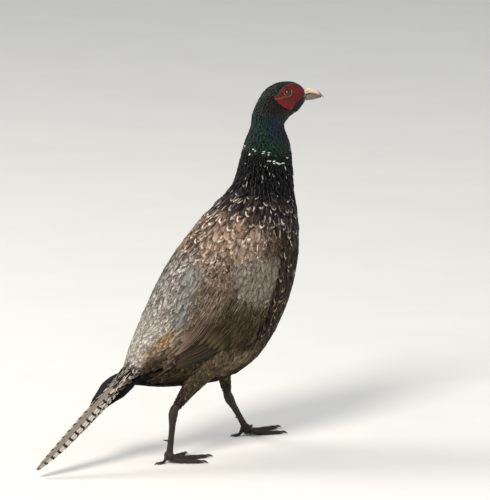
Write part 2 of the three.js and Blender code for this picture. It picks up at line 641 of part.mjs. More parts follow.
// Tail. It droops from its root on the back of the rump. The long middle pairs lie in a low roof, and the
// short outer ones spread out beside them.
const TAIL = {
  root: [-134, 0, 127], droop: 38 * DEG, length: 190, pairs: 9, roofed: 4,
  lengths: [1, 0.93, 0.83, 0.72, 0.6, 0.52, 0.46, 0.42, 0.38], // of each pair, from the middle one out
  halves: [11.3, 9.5, 9, 8.5, 8.5, 8, 8, 8, 8],
  beside: [1.4, 3, 4, 5, 9, 13, 17, 21, 24.5], // how far each pair's shafts lie beside the middle
  top: -0.6, // height of the middle pair's shafts
  level: 0.95, // how much lower each next pair lies
  roof: 0.16, // how much the roofed pairs fall to each side
  upturn: 0.3, // how much the outer pairs rise to each side
  thick: 0.5,
  stations: [0, 0.14, 0.45, 0.8, 1],
  widths: [0.5, 0.9, 1, 0.8, 0.12],
  gather: [0.6, 0.86, 1, 0.88, 0.82], // how close the shafts come together along a feather
  rise: [-3, 0.4, 0, 0, 1.8],
};
// The coverts at the tail's root, as [how far along the tail, top, bottom, half width].
const TAIL_COVERTS = [[14, 3, -25, 15], [26, 1, -20, 15], [45, -3, -12, 13], [64, -5, -8, 9]];
const tailWay = vector(-Math.cos(TAIL.droop), 0, -Math.sin(TAIL.droop));
const tailUp = vector(-Math.sin(TAIL.droop), 0, Math.cos(TAIL.droop));
/** A point given along the tail, to its left and up from its middle. */
const inTail = (along, left, up) =>
  vector(...TAIL.root).addScaledVector(tailWay, along).add(vector(0, left, 0)).addScaledVector(tailUp, up);

/** The height of a pair's feathers at a distance beside the tail's middle. */
function tailHeight(pair, beside) {
  if (pair < TAIL.roofed) return TAIL.top - TAIL.level * pair - TAIL.roof * beside;
  return TAIL.top - TAIL.level * (pair + 1) - TAIL.roof * 14 + TAIL.upturn * (beside - 14);
}

/** A tail feather of one pair, counted from the middle one. */
function rectrix(pair, side) {
  const length = TAIL.length * TAIL.lengths[pair];
  const crossed = side < 0 && pair < TAIL.roofed ? TAIL.level / 2 : 0;
  const rows = TAIL.stations.map((t, i) => {
    const along = mix(10, length, t);
    const middle = side * TAIL.beside[pair] * TAIL.gather[i];
    const half = TAIL.halves[pair] * TAIL.widths[i];
    const point = (e, face) => {
      const left = middle + e * half;
      const up = TAIL.rise[i] + tailHeight(pair, Math.abs(left)) - crossed;
      return inTail(along, left, up + face * (TAIL.thick / 2));
    };
    const ridge = Math.min(0.9, Math.max(-0.9, -middle / half));
    const places = pair < TAIL.roofed ? [-1, ridge, 1] : [-1, 1];
    return { top: places.map((e) => point(e, 1)), bottom: places.map((e) => point(e, -1)) };
  });
  return solid(sheet(rows));
}

function tail() {
  const sides = 14;
  const [back, belly] = [skin(0, Math.PI / 2), skin(0, -Math.PI / 2)];
  const away = vector(belly.z - back.z, 0, back.x - belly.x).normalize(); // out of the torso's flat end
  const angles = Array.from({ length: sides }, (_, j) => ((j + 0.5) / sides) * 2 * Math.PI);
  const rings = [angles.map((a) => skin(0, a).addScaledVector(away, GAP))];
  TAIL_COVERTS.forEach(([along, top, bottom, half]) => {
    rings.push(angles.map((a) =>
      inTail(along, half * Math.cos(a), (top + bottom) / 2 + ((top - bottom) / 2) * Math.sin(a))));
  });
  let made = solid(loft(rings));
  for (let pair = 0; pair < TAIL.pairs; pair += 1) {
    Object.values(SIDES).forEach((side) => {
      made = made.add(rectrix(pair, side));
    });
  }
  return made;
}
place("tail", tail(), "tailPlumage");

// The origin goes to the floor under the middle of the bird.
const box = new THREE.Box3().setFromObject(bird);
bird.position.set(-(box.min.x + box.max.x) / 2, -(box.min.y + box.max.y) / 2, -box.min.z);
bird.updateMatrixWorld(true);
export default bird;
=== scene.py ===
"""A cock common pheasant at life size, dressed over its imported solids: skin, feathers, face, bill and feet."""
import logging
import math
from collections.abc import Callable
from dataclasses import dataclass, field
from enum import IntEnum

import bpy
import numpy as np
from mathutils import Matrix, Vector


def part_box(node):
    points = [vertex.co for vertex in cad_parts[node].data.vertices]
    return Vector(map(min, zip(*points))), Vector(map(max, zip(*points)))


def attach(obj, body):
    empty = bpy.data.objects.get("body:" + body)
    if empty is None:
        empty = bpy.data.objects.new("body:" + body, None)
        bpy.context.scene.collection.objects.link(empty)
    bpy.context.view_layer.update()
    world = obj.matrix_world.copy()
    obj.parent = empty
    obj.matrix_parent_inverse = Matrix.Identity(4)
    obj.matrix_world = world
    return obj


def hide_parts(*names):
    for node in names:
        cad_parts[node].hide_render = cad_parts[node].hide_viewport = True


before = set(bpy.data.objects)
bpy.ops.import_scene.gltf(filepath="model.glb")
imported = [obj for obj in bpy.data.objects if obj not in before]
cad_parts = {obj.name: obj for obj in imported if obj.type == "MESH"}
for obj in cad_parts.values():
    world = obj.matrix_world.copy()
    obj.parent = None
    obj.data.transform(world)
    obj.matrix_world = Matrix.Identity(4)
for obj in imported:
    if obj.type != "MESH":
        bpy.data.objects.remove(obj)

LOG = logging.getLogger("pheasant")
MM = 0.001
SEED = 4127
FULL_TURN = 2 * math.pi
SIDES: dict[str, int] = {"left": 1, "right": -1}
RING = 181  # points round a form to measure it by
STRAY = (0.2, 0.16)  # how far roots stray along and round, as shares of the distance between them
FEWEST = 6  # roots in a row
UNDERSIDE = 3  # which point of a vane's section is the middle of its underside
PATCH = 0.003  # how wide a small feather's patch is on the unwrap of the skin
LONG_PATCH = (0.02, 0.03)  # the patch of a long feather, which keeps its own bars
PIECE_LIMIT = 190_000  # triangles in one piece of the coat
ALL_ROUND = 89  # a region's limit beyond this many degrees above or below the side is none
Array = np.ndarray
Random = np.random.Generator
Socket = bpy.types.NodeSocket
NodeTree = bpy.types.NodeTree
Outputs = bpy.types.bpy_prop_collection
Material = bpy.types.Material
Looks = dict[str, Array]


def linear(code: str) -> Array:
    """A hex colour of six digits as red, green and blue in linear light."""
    parts = np.array([int(code[i : i + 2], 16) / 255 for i in (0, 2, 4)])
    return np.where(parts <= 0.04045, parts / 12.92, ((parts + 0.055) / 1.055) ** 2.4)


def opaque(code: str) -> tuple:
    """A hex colour as the value of a colour socket."""
    return (*linear(code).tolist(), 1.0)


def smooth(low: float, high: float, value: Array) -> Array:
    """An easy ramp over the values, from 0 at low to 1 at high."""
    t = np.clip((np.asarray(value, float) - low) / (high - low), 0, 1)
    return t * t * (3 - 2 * t)


def mixed(one: Array, two: Array, share: Array) -> Array:
    """Rows of values, each mixed towards a second value by its own share."""
    share = share[:, None] if np.ndim(share) == 1 else share
    return one * (1 - share) + two * share


def tint(looks: Looks, base: str, trim: str, share: Array, shade: Array = 1.0) -> None:
    """Mixes a base and a trim colour into some looks, each row by its own share."""
    looks["base"] = mixed(looks["base"], linear(base) * shade, share)
    looks["trim"] = mixed(looks["trim"], linear(trim), share)


def unit(vectors: Array) -> Array:
    """Scales vectors to length 1 along their last axis."""
    return vectors / np.maximum(np.linalg.norm(vectors, axis=-1, keepdims=True), 1e-9)


def grid(places: Array, around: int) -> tuple[Array, Array]:
    """Each place with each of the even angles of a full turn."""
    return tuple(np.meshgrid(places, np.linspace(0, FULL_TURN, around, endpoint=False), indexing="ij"))


def facing_out(points: Array, faces: Array) -> Array:
    """The triangles of a closed piece, all wound alike, turned so that they face out."""
    a, b, c = (points[faces[:, k]] - points[0] for k in range(3))
    return faces if np.sum(a * np.cross(b, c)) > 0 else faces[:, ::-1]


def rows_at(table: tuple, places: Array) -> list[Array]:
    """Reads each further column of a table at places along its first one."""
    table = np.atleast_2d(np.asarray(table, float))
    return [np.interp(places, table[:, 0], column) for column in table.T[1:]]


def even_rows(table: Array, share: Array) -> Array:
    """Reads evenly spaced rows at a share of their whole length."""
    table = np.asarray(table, float)
    return np.stack([np.interp(share, np.linspace(0, 1, len(table)), column) for column in table.T], -1)


def even_spline(values: Array, places: Array) -> Array:
    """Reads a curve that runs evenly through a table of values.

    Args:
        values: One row for each knot.
        places: Where to read it, 0 at the first knot, 1 at the second and so on.

    Returns:
        One row for each place.
    """
    n = len(values)
    places = np.clip(places, 0, n - 1)
    i = np.minimum(places.astype(int), n - 2)
    w = (places - i)[..., None]
    padded = np.vstack([2 * values[:1] - values[1:2], values, 2 * values[-1:] - values[-2:-1]])
    p0, p1, p2, p3 = padded[i], padded[i + 1], padded[i + 2], padded[i + 3]
    t0, t1 = (p2 - p0) / 2, (p3 - p1) / 2
    return p1 + w * t0 + w**2 * (3 * (p2 - p1) - 2 * t0 - t1) + w**3 * (2 * (p1 - p2) + t0 + t1)


# the folded wing's outline as place along the body, lower edge and upper edge in degrees above the side
WING_OUTLINE = (
    (1.35, -11, -6), (1.7, -11, 12), (2.2, -11, 30), (2.8, -12, 38), (3.4, -13, 44),
    (4, -14, 51), (4.6, -10, 57), (5.2, -4, 55), (5.75, 0, 32), (6.15, 7, 12),
)


def wing_edges(s: Array) -> list[Array]:
    """The folded wing's lower and upper edges at a place, in degrees above the side."""
    return rows_at(WING_OUTLINE, s)


def above_of(angle: Array) -> Array:
    """Degrees above the middle of the nearer side, from an angle round the body."""
    return np.degrees(np.arcsin(np.clip(np.sin(angle), -1, 1)))


def angle_of(side: int, above: Array) -> Array:
    """The angle round the body of a height in degrees above one side, 1 for the left and -1 for the right."""
    return np.radians(above) if side > 0 else math.pi - np.radians(above)


class Form:
    """A surface that feathers grow on, read at places along it and angles round it."""

    def over(self, place: Array, angle: Array, lift: Array = 0.0) -> Array:
        """Points over the surface, lift millimetres out of it."""
        return self.skin(place, angle) + self.outward(place, angle) * np.asarray(lift)[..., None]


@dataclass
class BodyForm(Form):
    """The body's shape from the tail root to the bill root, as the solids have it, in design millimetres."""

    # back x and z, belly x and z, half the width, and how much wider the back is than the belly
    sections: tuple = (
        (-140, 130, -124, 99, 15, 0), (-128, 151, -92, 93, 28, 0), (-111, 174, -48, 90, 43, 0.04),
        (-93, 200, 4, 91, 54, 0.08), (-73, 230, 57, 114, 61, 0.08), (-48, 260, 96, 166, 64, 0.05),
        (-14, 293, 116, 225, 61, 0), (18, 317, 121, 275, 52, 0), (40, 338, 118, 320, 40, 0),
        (49, 365, 117, 358, 32, 0), (56, 390, 114, 388, 27, 0), (63.7, 410, 106.7, 410, 20.5, 0),
        (65.7, 426, 111.7, 421, 19.5, 0), (72.7, 443, 118.7, 427, 19, 0), (82.7, 458, 123.7, 430, 18.5, 0),
        (97.7, 466.5, 126.7, 433, 17.5, 0), (114.7, 468, 129.2, 436.5, 14.5, 0),
        (125.7, 464, 132.2, 440, 10, 0), (132.7, 458.5, 134.2, 443, 6, 0),
    )
    roundness: float = 0.95
    yaw: float = math.radians(-30)
    turn: tuple = (8.5, 13.0)
    turn_x: float = 85.0
    head_origin: tuple = (109.7, 454.0)
    eye: tuple = (15.2, 20.0)  # place along the body and degrees above the side
    eye_sunk: float = 3.9
    bed_depth: float = 8.0
    bed_margin: float = 7.0
    bed_ramp: float = 11.0
    bed_ends: tuple = (0.85, 6.35)
    bed_fade: float = 0.55
    behind: float = 0.3  # the stretch whose slope is drawn on behind the tail root
    fine_step: float = 0.02
    step: float = 0.03

    @property
    def ends(self) -> int:
        """The place of the bill root."""
        return len(self.sections) - 1

    def turned(self, points: Array, s: Array) -> Array:
        """Turns points about the neck by the share of the head's turn at their places.

        Args:
            points: The points.
            s: Place along the body of each.

        Returns:
            The turned points.
        """
        yaw = self.yaw * smooth(*self.turn, s)
        dx, y = points[..., 0] - self.turn_x, points[..., 1]
        x = self.turn_x + dx * np.cos(yaw) - y * np.sin(yaw)
        return np.stack([x, dx * np.sin(yaw) + y * np.cos(yaw), points[..., 2]], -1)

    def in_head(self, x: Array, y: Array, z: Array) -> Array:
        """Points given in the head's own frame, from its origin.

        Args:
            x: Millimetres forward.
            y: Millimetres to the left.
            z: Millimetres up.

        Returns:
            The points.
        """
        x, y, z = np.broadcast_arrays(np.asarray(x, float), y, z)
        points = np.stack([self.head_origin[0] + x, y, self.head_origin[1] + z], -1)
        return self.turned(points, np.full(points.shape[:-1], float(self.ends)))

    def skin(self, s: Array, angle: Array) -> Array:
        """The body's surface.

        Args:
            s: Place along the body, 0 at the tail root.
            angle: 0 is the left side, 90 degrees the back, 180 the right side and 270 the belly, in radians.

        Returns:
            A point for each place.
        """
        s, angle = np.broadcast_arrays(np.asarray(s, float), np.asarray(angle, float))
        row = even_spline(np.asarray(self.sections, float), s)
        side, rise = (np.sign(v) * np.abs(v) ** self.roundness for v in (np.cos(angle), np.sin(angle)))
        back, belly = row[..., 0:2], row[..., 2:4]
        flat = (back + belly) / 2 + (back - belly) * (rise / 2)[..., None]
        y = row[..., 4] * side * (1 + row[..., 5] * rise)
        points = self.turned(np.stack([flat[..., 0], y, flat[..., 1]], -1), s)
        if np.any(s < 0):
            start = self.skin(np.zeros_like(s), angle)
            slope = start - self.skin(np.full_like(s, self.behind), angle)
            points = np.where((s < 0)[..., None], start + slope * (-s / self.behind)[..., None], points)
        return points

    def runs(self, s: Array, angle: Array, step: float) -> tuple[Array, Array]:
        """How the surface runs, from one step before a place to one after it.

        Args:
            s: Place along the body.
            angle: Angle round it.
            step: The step.

        Returns:
            The runs along and round.
        """
        s = np.clip(s, self.step, self.ends - self.step)
        along = self.skin(s + step, angle) - self.skin(s - step, angle)
        return along, self.skin(s, angle + step) - self.skin(s, angle - step)

    def outward(self, s: Array, angle: Array) -> Array:
        """The way out of the surface at each place."""
        return -unit(np.cross(*self.runs(s, angle, self.fine_step)))

    def steps(self, s: Array, angle: Array) -> tuple[Array, Array]:
        """Millimetres for each unit of s and for each radian of angle."""
        return tuple(np.linalg.norm(run, axis=-1) / (2 * self.step) for run in self.runs(s, angle, self.step))

    def bed(self, s: Array, above: Array) -> Array:
        """How far a place is inside the bed that a folded wing lies in.

        Args:
            s: Place along the body.
            above: Degrees above the side.

        Returns:
            A share from 0 to 1.
        """
        (low, high), (tail, front) = wing_edges(s), self.bed_ends
        across = smooth(-self.bed_ramp, 0, above - low + self.bed_margin)
        across = across * smooth(-self.bed_ramp, 0, high + self.bed_margin - above)
        return across * smooth(-self.bed_fade, 0, front - s) * smooth(-self.bed_fade, 0, s - tail)

    def unwrap(self, s: Array, angle: Array) -> Array:
        """The places on the unwrap of the skin."""
        return np.stack([(angle / FULL_TURN) % 1.0, s / self.ends], -1) * 0.9 + 0.02


@dataclass
class LimbForm(Form):
    """A tapered limb along a curve, with the same way of being read as the body."""

    points: Array
    radii: Array
    forward: tuple = (1.0, 0.0, 0.0)
    corner: tuple = (0.0, 0.0)  # its own corner on the unwrap of the skin
    reach: tuple = (0.006, 0.05)  # how far a radian and the whole length go there
    line: Array = field(init=False)
    tangents: Array = field(init=False)
    length: float = field(init=False)

    def __post_init__(self) -> None:
        """Lays the curve out at even distances."""
        knots = np.asarray(self.points, float)
        padded = np.vstack([2 * knots[0] - knots[1], knots, 2 * knots[-1] - knots[-2]])
        fine = []
        for i in range(len(knots) - 1):
            p0, p1, p2, p3 = padded[i : i + 4]
            d0, d1, d2 = (max(np.linalg.norm(b - a), 1e-6) ** 0.5 for a, b in ((p0, p1), (p1, p2), (p2, p3)))
            t1 = ((p1 - p0) / d0 - (p2 - p0) / (d0 + d1) + (p2 - p1) / d1) * d1
            t2 = ((p2 - p1) / d1 - (p3 - p1) / (d1 + d2) + (p3 - p2) / d2) * d1
            w = np.linspace(0, 1, 80, endpoint=i == len(knots) - 2)[:, None]
            fine.append(p1 + w * t1 + w**2 * (3 * (p2 - p1) - 2 * t1 - t2) + w**3 * (2 * (p1 - p2) + t1 + t2))
        fine = np.vstack(fine)
        far = np.concatenate([[0], np.cumsum(np.linalg.norm(np.diff(fine, axis=0), axis=1))])
        self.line = np.stack([np.interp(np.linspace(0, far[-1], 200), far, column) for column in fine.T], -1)
        self.tangents = unit(np.gradient(self.line, axis=0))
        self.length = float(np.sum(np.linalg.norm(np.diff(self.line, axis=0), axis=1)))

    def ring(self, t: Array) -> tuple[Array, Array, Array, Array]:
        """Reads the limb at a share of its length.

        Args:
            t: The share.

        Returns:
            The middle, the ways sideways and up, and both radii.
        """
        middle, tangent, wide = (even_rows(table, t) for table in (self.line, self.tangents, self.radii))
        tangent = unit(tangent)
        side = unit(np.cross(tangent, np.asarray(self.forward, float)))
        return middle, side, np.cross(side, tangent), wide

    def skin(self, t: Array, angle: Array) -> Array:
        """The limb's surface.

        Args:
            t: Share of its length.
            angle: Angle round it.

        Returns:
            A point for each place.
        """
        middle, side, up, wide = self.ring(t)
        aside, rise = (wide[..., 0] * np.cos(angle))[..., None], (wide[..., 1] * np.sin(angle))[..., None]
        return middle + side * aside + up * rise

    def outward(self, t: Array, angle: Array) -> Array:
        """The way out of the limb at each place."""
        _, side, up, wide = self.ring(t)
        return unit(side * (np.cos(angle) / wide[..., 0])[..., None] + up * (np.sin(angle) / wide[..., 1])[..., None])

    def steps(self, t: Array, angle: Array) -> tuple[Array, Array]:
        """Millimetres for each unit of t and for each radian of angle."""
        return np.full(np.shape(t), self.length), even_rows(self.radii, t).mean(-1)

    def unwrap(self, t: Array, angle: Array) -> Array:
        """The places on the unwrap of the skin."""
        return np.stack([angle, t], -1) * self.reach + self.corner


@dataclass
class Made:
    """Points, faces, colours and maps of a piece before it becomes a mesh."""

    points: Array
    faces: Array
    colours: Looks = field(default_factory=dict)
    maps: dict[str, Array] = field(default_factory=dict)

    @staticmethod
    def joined(parts: list["Made"]) -> "Made":
        """Joins pieces that have the same named values into one.

        Args:
            parts: The pieces.

        Returns:
            One piece with all of their points and faces.
        """
        starts = np.cumsum([0] + [len(p.points) for p in parts[:-1]])
        return Made(
            np.vstack([p.points for p in parts]),
            np.vstack([p.faces + at for p, at in zip(parts, starts)]),
            {name: np.vstack([p.colours[name] for p in parts]) for name in parts[0].colours},
            {name: np.vstack([p.maps[name] for p in parts]) for name in parts[0].maps},
        )


def loft(rings: Array, closed: bool = True) -> tuple[Array, Array]:
    """Skins a stack of rings with triangles.

    Args:
        rings: Points as rings by points round by 3.
        closed: Whether both ends get a cap.

    Returns:
        The points and the triangles, facing out.
    """
    n, m = rings.shape[:2]
    points = rings.reshape(-1, 3)
    i, j = np.meshgrid(np.arange(n - 1), np.arange(m), indexing="ij")
    a, b = i * m + j, i * m + (j + 1) % m
    c, d = a + m, b + m
    faces = [np.stack([a, c, d], -1).reshape(-1, 3), np.stack([a, d, b], -1).reshape(-1, 3)]
    if closed:
        points = np.vstack([points, rings[0].mean(0), rings[-1].mean(0)])
        j = np.arange(m)
        k = (j + 1) % m
        faces.append(np.stack([np.full(m, n * m), j, k], -1))
        faces.append(np.stack([np.full(m, n * m + 1), (n - 1) * m + k, (n - 1) * m + j], -1))
    return points, facing_out(points, np.vstack(faces))


# ---- colours of the plumage ----


class Mark(IntEnum):
    """What a feather shows besides its own colour, in the order of the marks' channels."""

    FRINGE = 0
    ARC = 1
    STREAK = 2


@dataclass(frozen=True)
class Region:
    """A stretch of plumage with one look.

    s and above give where it is fully itself, odds how many of its feathers carry each mark, soft how far it
    fades along the body and round it, and by_wing whether above is counted from the folded wing's upper edge.
    """

    name: str
    s: tuple
    above: tuple
    base: str
    trim: str
    marks: tuple = (0.0, 0.0, 0.0)
    odds: tuple = (1.0, 1.0, 1.0)
    soft: tuple = (0.35, 9.0)
    vary: float = 0.2
    by_wing: bool = False

    def weight(self, s: Array, above: Array, edge: Array) -> Array:
        """How far each feather belongs to it.

        Args:
            s: Place along the body.
            above: Degrees above the side.
            edge: The folded wing's upper edge at each place.

        Returns:
            A share from 0 to 1 for each feather.
        """
        height = above - edge if self.by_wing else above
        weight = np.ones(len(s))
        for value, (low, high), soft in ((s, self.s, self.soft[0]), (height, self.above, self.soft[1])):
            if low > -ALL_ROUND:
                weight = weight * smooth(low - soft, low + soft, value)
            if high < ALL_ROUND:
                weight = weight * (1 - smooth(high - soft, high + soft, value))
        return weight


REGIONS: tuple[Region, ...] = (
    Region("flank", (-1, 8), (-90, 90), "33291a", "695840", (0.45, 0.0, 0.3), (0.8, 0, 0.6)),
    Region("back", (0.5, 5.8), (44, 90), "68615a", "cfc9bf", (0.8, 0.8, 0.8), (0.8, 0.3, 0.6), (0.5, 9), 0.25),
    Region("rump", (-1, 2.9), (32, 90), "a0968a", "e4ddd2", (0.85, 0.3, 0.9), (0.9, 0.15, 0.75), (0.7, 8), 0.22),
    Region("tail root", (-1, 0.5), (0, 90), "1f1a17", "cfc5b6", (0.9, 0.0, 0.3), (0.8, 0, 0.4), (0.15, 12), 0.3),
    Region("strip", (2.3, 5.3), (-2, 18), "73726c", "a3a29b", (0.4, 0.0, 0.6), (0.7, 0, 0.7), (0.4, 5), 0.12, True),
    Region("ochre tuft", (1.1, 2.7), (33, 52), "7a5a35", "c3a173", (0.5, 0.0, 0.8), (0.7, 0, 0.8), (0.4, 8), 0.15),
    Region("mantle", (5.2, 7.3), (10, 90), "5c493b", "dccab5", (0.3, 1.0, 0.3), (0.4, 0.42, 0.3), (0.45, 9), 0.22),
    Region("mantle tan", (5.3, 6.5), (22, 78), "8a725f", "dccab5", (0.5, 0.9, 0.4), (0.5, 0.25, 0.5), (0.5, 9), 0.22),
    Region("breast", (3.9, 7.6), (-90, -6), "2a1b17", "bca890", (0.3, 1.0, 0.0), (0.06, 0.24, 0), (0.4, 9), 0.3),
    Region("belly", (-1, 3.6), (-90, -38), "1d1610", "3d3223", (0.3, 0.0, 0.2), (0.6, 0, 0.5), (0.5, 10)),
    Region("flank patch", (2.9, 4.0), (-44, -13), "78674d", "a8977c", (0.45, 0.0, 0.5), (0.7, 0, 0.6), (0.35, 7), 0.3),
    Region("undertail", (-2, 0.7), (-90, 0), "100d0a", "2a2118", (0.2, 0.0, 0.0), (0.5, 0, 0), (0.4, 14)),
    Region("shoulder", (6.9, 8.0), (-90, 90), "261b19", "cabdad", (0.2, 0.9, 0.6), (0.06, 0.34, 0.06), (0.35, 10), 0.3),
    Region("throat base", (7.9, 9.7), (-90, 90), "050506", "aaa6a6", (0.1, 0.8, 0.9), (0, 0.025, 0.04), (0.4, 10)),
    Region("green bib", (9.22, 10), (-70, 32), "07160f", "1a3325", (0.3, 0.0, 0.0), (1, 0, 0), (0.06, 12), 0.3),
    Region("green neck", (9.75, 12.2), (-90, 90), "0a241a", "1b4537", (0.3, 0.0, 0.0), (1, 0, 0), (0.08, 10), 0.3),
    # painted sheen: the neck's sides are painted blue, standing in for the gloss's change of hue at that angle
    Region("blue neck", (10.8, 12.9), (-35, 20), "081d2a", "163a49", (0.3, 0.0, 0.0), (1, 0, 0), (0.5, 16), 0.3),
    # painted shade: the neck's front and underside are painted near-black, the dark angle of the painted gloss
    Region("green front", (9.75, 12.2), (-90, -30), "05080a", "0e1b1c", (0.2, 0.0, 0.0), (1, 0, 0), (0.08, 24), 0.3),
    Region("head", (12.2, 19), (-90, 90), "14251f", "2b4a42", (0.2, 0.0, 0.0), (1, 0, 0), (0.5, 10), 0.25),
    Region("cheek", (12.6, 14.3), (-30, 60), "130e0a", "2b2016", (0.15, 0.0, 0.0), (1, 0, 0), (0.4, 12), 0.2),
    Region("chin", (12.4, 19), (-90, -40), "050606", "101615", (0.1, 0.0, 0.0), (1, 0, 0), (0.5, 12), 0.2),
    Region("crown", (13.4, 19), (60, 90), "222b22", "3f4c3e", (0.3, 0.0, 0.0), (1, 0, 0), (0.5, 10), 0.2),
)


def plumage(s: Array, above: Array, rng: Random) -> Looks:
    """Colours each feather by where it is rooted.

    Args:
        s: Place along the body.
        above: Degrees above the side.
        rng: A seeded source of chance.

    Returns:
        The base and trim colours and the strength of each mark.
    """
    n = len(s)
    wander_s = s + 0.12 * np.sin(above * 0.21) + rng.normal(0, 0.07, n)
    wander_above = above + rng.normal(0, 2.5, n)
    edge = wing_edges(s)[1]
    table = np.zeros((n, 13))
    for region in REGIONS:
        own = np.hstack([linear(region.base), linear(region.trim), region.marks, region.odds, region.vary])
        table = mixed(table, own, region.weight(wander_s, wander_above, edge))
    base, trim, marks, odds, vary = np.split(table, (3, 6, 9, 12), axis=1)
    shade = np.exp(rng.normal(0, 1, (n, 1)) * vary)
    marks = marks * (rng.random((n, 3)) < odds) * rng.uniform(0.6, 1.15, (n, 3))
    looks = {"base": base * shade, "trim": trim * shade**0.5, "marks": marks}
    return {key: np.clip(values, 0, 1) for key, values in looks.items()}


def loose_share(count: int, rng: Random) -> Array:
    """How far each loose barb takes the trim's colour: most a little, some nearly all."""
    pale = rng.random((count, 1)) < 0.38
    return np.where(pale, rng.uniform(0.6, 1.0, (count, 1)), rng.uniform(0.0, 0.2, (count, 1)))


def frayed(looks: Looks, share: Array) -> Looks:
    """The looks of loose barbs, which take the trim's colour by a share and carry no marks."""
    return {"base": mixed(looks["base"], looks["trim"], share), "trim": looks["trim"], "marks": looks["marks"] * 0}


# ---- feathers ----


@dataclass
class Lay:
    """Where and how a set of small feathers lies: one value of each for every feather."""

    s: Array
    angle: Array
    length: Array
    width: Array
    low: Array
    high: Array
    twist: Array
    roll: Array
    curl: Array

    def part(self, rows: slice) -> "Lay":
        """The lay of some of its feathers."""
        return Lay(*(values[rows] for values in vars(self).values()))


def chances(rng: Random, count: int, *spread: float) -> list[Array]:
    """Some chance for each of count feathers, once for each spread."""
    return [rng.normal(0, wide, count) for wide in spread]


def across_and_up(line: Array, out: Array, roll: Array) -> tuple[Array, Array]:
    """The ways across and up at each point of a feather's middle line.

    Args:
        line: The middle line.
        out: The way out of the bird at each point.
        roll: The angle that the feather is rolled over by.

    Returns:
        Both ways.
    """
    way = unit(np.gradient(line, axis=-2))
    across = unit(np.cross(way, out))
    up = np.cross(across, way)
    return across * np.cos(roll) + up * np.sin(roll), up * np.cos(roll) - across * np.sin(roll)


@dataclass(frozen=True)
class Vane:
    """The pattern that a small closed feather is cut from.

    rows are places along it with its half width at each, section goes round it in half widths, and under is how
    much lower the middle of its underside lies.
    """

    rows: tuple = (0.0, 0.25, 0.52, 0.78, 0.93)
    widths: tuple = (0.4, 0.85, 1.0, 0.94, 0.66)
    section: tuple = ((-1, 0), (0, 0.11), (1, 0), (0, 0.05))
    under: float = 0.05

    def faces(self) -> Array:
        """Lays out one feather, with its section at each row and one point at the tip.

        Returns:
            Its triangles.
        """
        n, m = len(self.rows), len(self.section)
        out = []
        for i in range(n - 1):
            for k in range(m):
                a, b = i * m + k, i * m + (k + 1) % m
                out += [(a, b + m, a + m), (a, b, b + m)]
        out += [((n - 1) * m + k, (n - 1) * m + (k + 1) % m, n * m) for k in range(m)]
        out += [(0, k + 1, k) for k in range(1, m - 1)]
        return np.array(out)

    def make(self, form: Form, lay: Lay, looks: Looks) -> Made:
        """Makes one closed vane for each place.

        Args:
            form: What the feathers grow on.
            lay: Where and how they lie.
            looks: Each feather's colours and marks.

        Returns:
            All of the feathers as one piece.
        """
        u = np.array(self.rows + (1.0,))
        per_s, per_angle = form.steps(lay.s, lay.angle)
        s = lay.s[:, None] + (-lay.length * np.cos(lay.twist) / per_s)[:, None] * u
        angle = lay.angle[:, None] + (lay.length * np.sin(lay.twist) / np.maximum(per_angle, 0.5))[:, None] * u
        lift = lay.low[:, None] + (lay.high - lay.low)[:, None] * u**0.8 + lay.curl[:, None] * u**3
        line = form.over(s, angle, lift)
        across, up = across_and_up(line, form.outward(s, angle), lay.roll[:, None, None])
        half = (lay.width / 2)[:, None, None] * np.array(self.widths)[None, :, None]
        body, x, z = line[:, :-1], across[:, :-1] * half, up[:, :-1]
        rows = [
            body + x * over + z * (half * rise - (self.under if k == UNDERSIDE else 0))
            for k, (over, rise) in enumerate(self.section)
        ]
        n, m = len(lay.s), len(self.section)
        points = np.concatenate([np.stack(rows, 2).reshape(n, -1, 3), line[:, -1:, :]], 1)
        per = points.shape[1]
        faces = facing_out(points[0], self.faces())[None] + (np.arange(n) * per)[:, None, None]
        across_map = np.tile([(over + 1) / 2 for over, _ in self.section], len(self.rows))
        local = np.vstack([np.stack([np.repeat(self.rows, m), across_map], -1), [[1.0, 0.5]]])
        patch = form.unwrap(lay.s, lay.angle)[:, None, :] + (local[None, :, ::-1] - [0.5, 0.0]) * PATCH
        return Made(
            points.reshape(-1, 3),
            faces.reshape(-1, 3),
            {key: np.repeat(value, per, axis=0) for key, value in looks.items()},
            {"Vane": np.tile(local, (n, 1)), "OFBake": patch.reshape(-1, 2)},
        )


VANE = Vane()
HAIR = Vane((0.0, 0.55), (0.7, 1.0), ((-1, 0), (0, 0.6), (1, 0)), 0.0)


def even_places(form: Form, start: float, stop: float, spacing: Array, rng: Random) -> tuple[Array, Array]:
    """Spreads roots over a form in staggered rows at even distances.

    Args:
        form: The form.
        start: Place of the first row.
        stop: Place of the last row.
        spacing: Rows of place, distance between the rows and distance between the roots of a row.
        rng: A seeded source of chance.

    Returns:
        The places and the angles of the roots.
    """
    places, angles = [], []
    s, row = start, 0
    turn = np.linspace(0, FULL_TURN, RING)
    eight = turn[:176:22]  # eight even angles, to read the length of a step by
    while s < stop:
        along, around = (float(value) for value in rows_at(spacing, s))
        ring = form.skin(np.full(RING, s), turn)
        far = np.concatenate([[0], np.cumsum(np.linalg.norm(np.diff(ring, axis=0), axis=1))])
        n = max(FEWEST, int(far[-1] / around))
        at = (np.arange(n) + 0.5 * (row % 2)) / n * far[-1] + rng.normal(0, around * STRAY[1], n)
        angles.append(np.interp(at % far[-1], far, turn))
        per_s, _ = form.steps(np.full(len(eight), s), eight)
        step = along / float(per_s.mean())
        places.append(np.full(n, s) + rng.normal(0, step * STRAY[0], n))
        s, row = s + step, row + 1
    return np.concatenate(places), np.concatenate(angles)


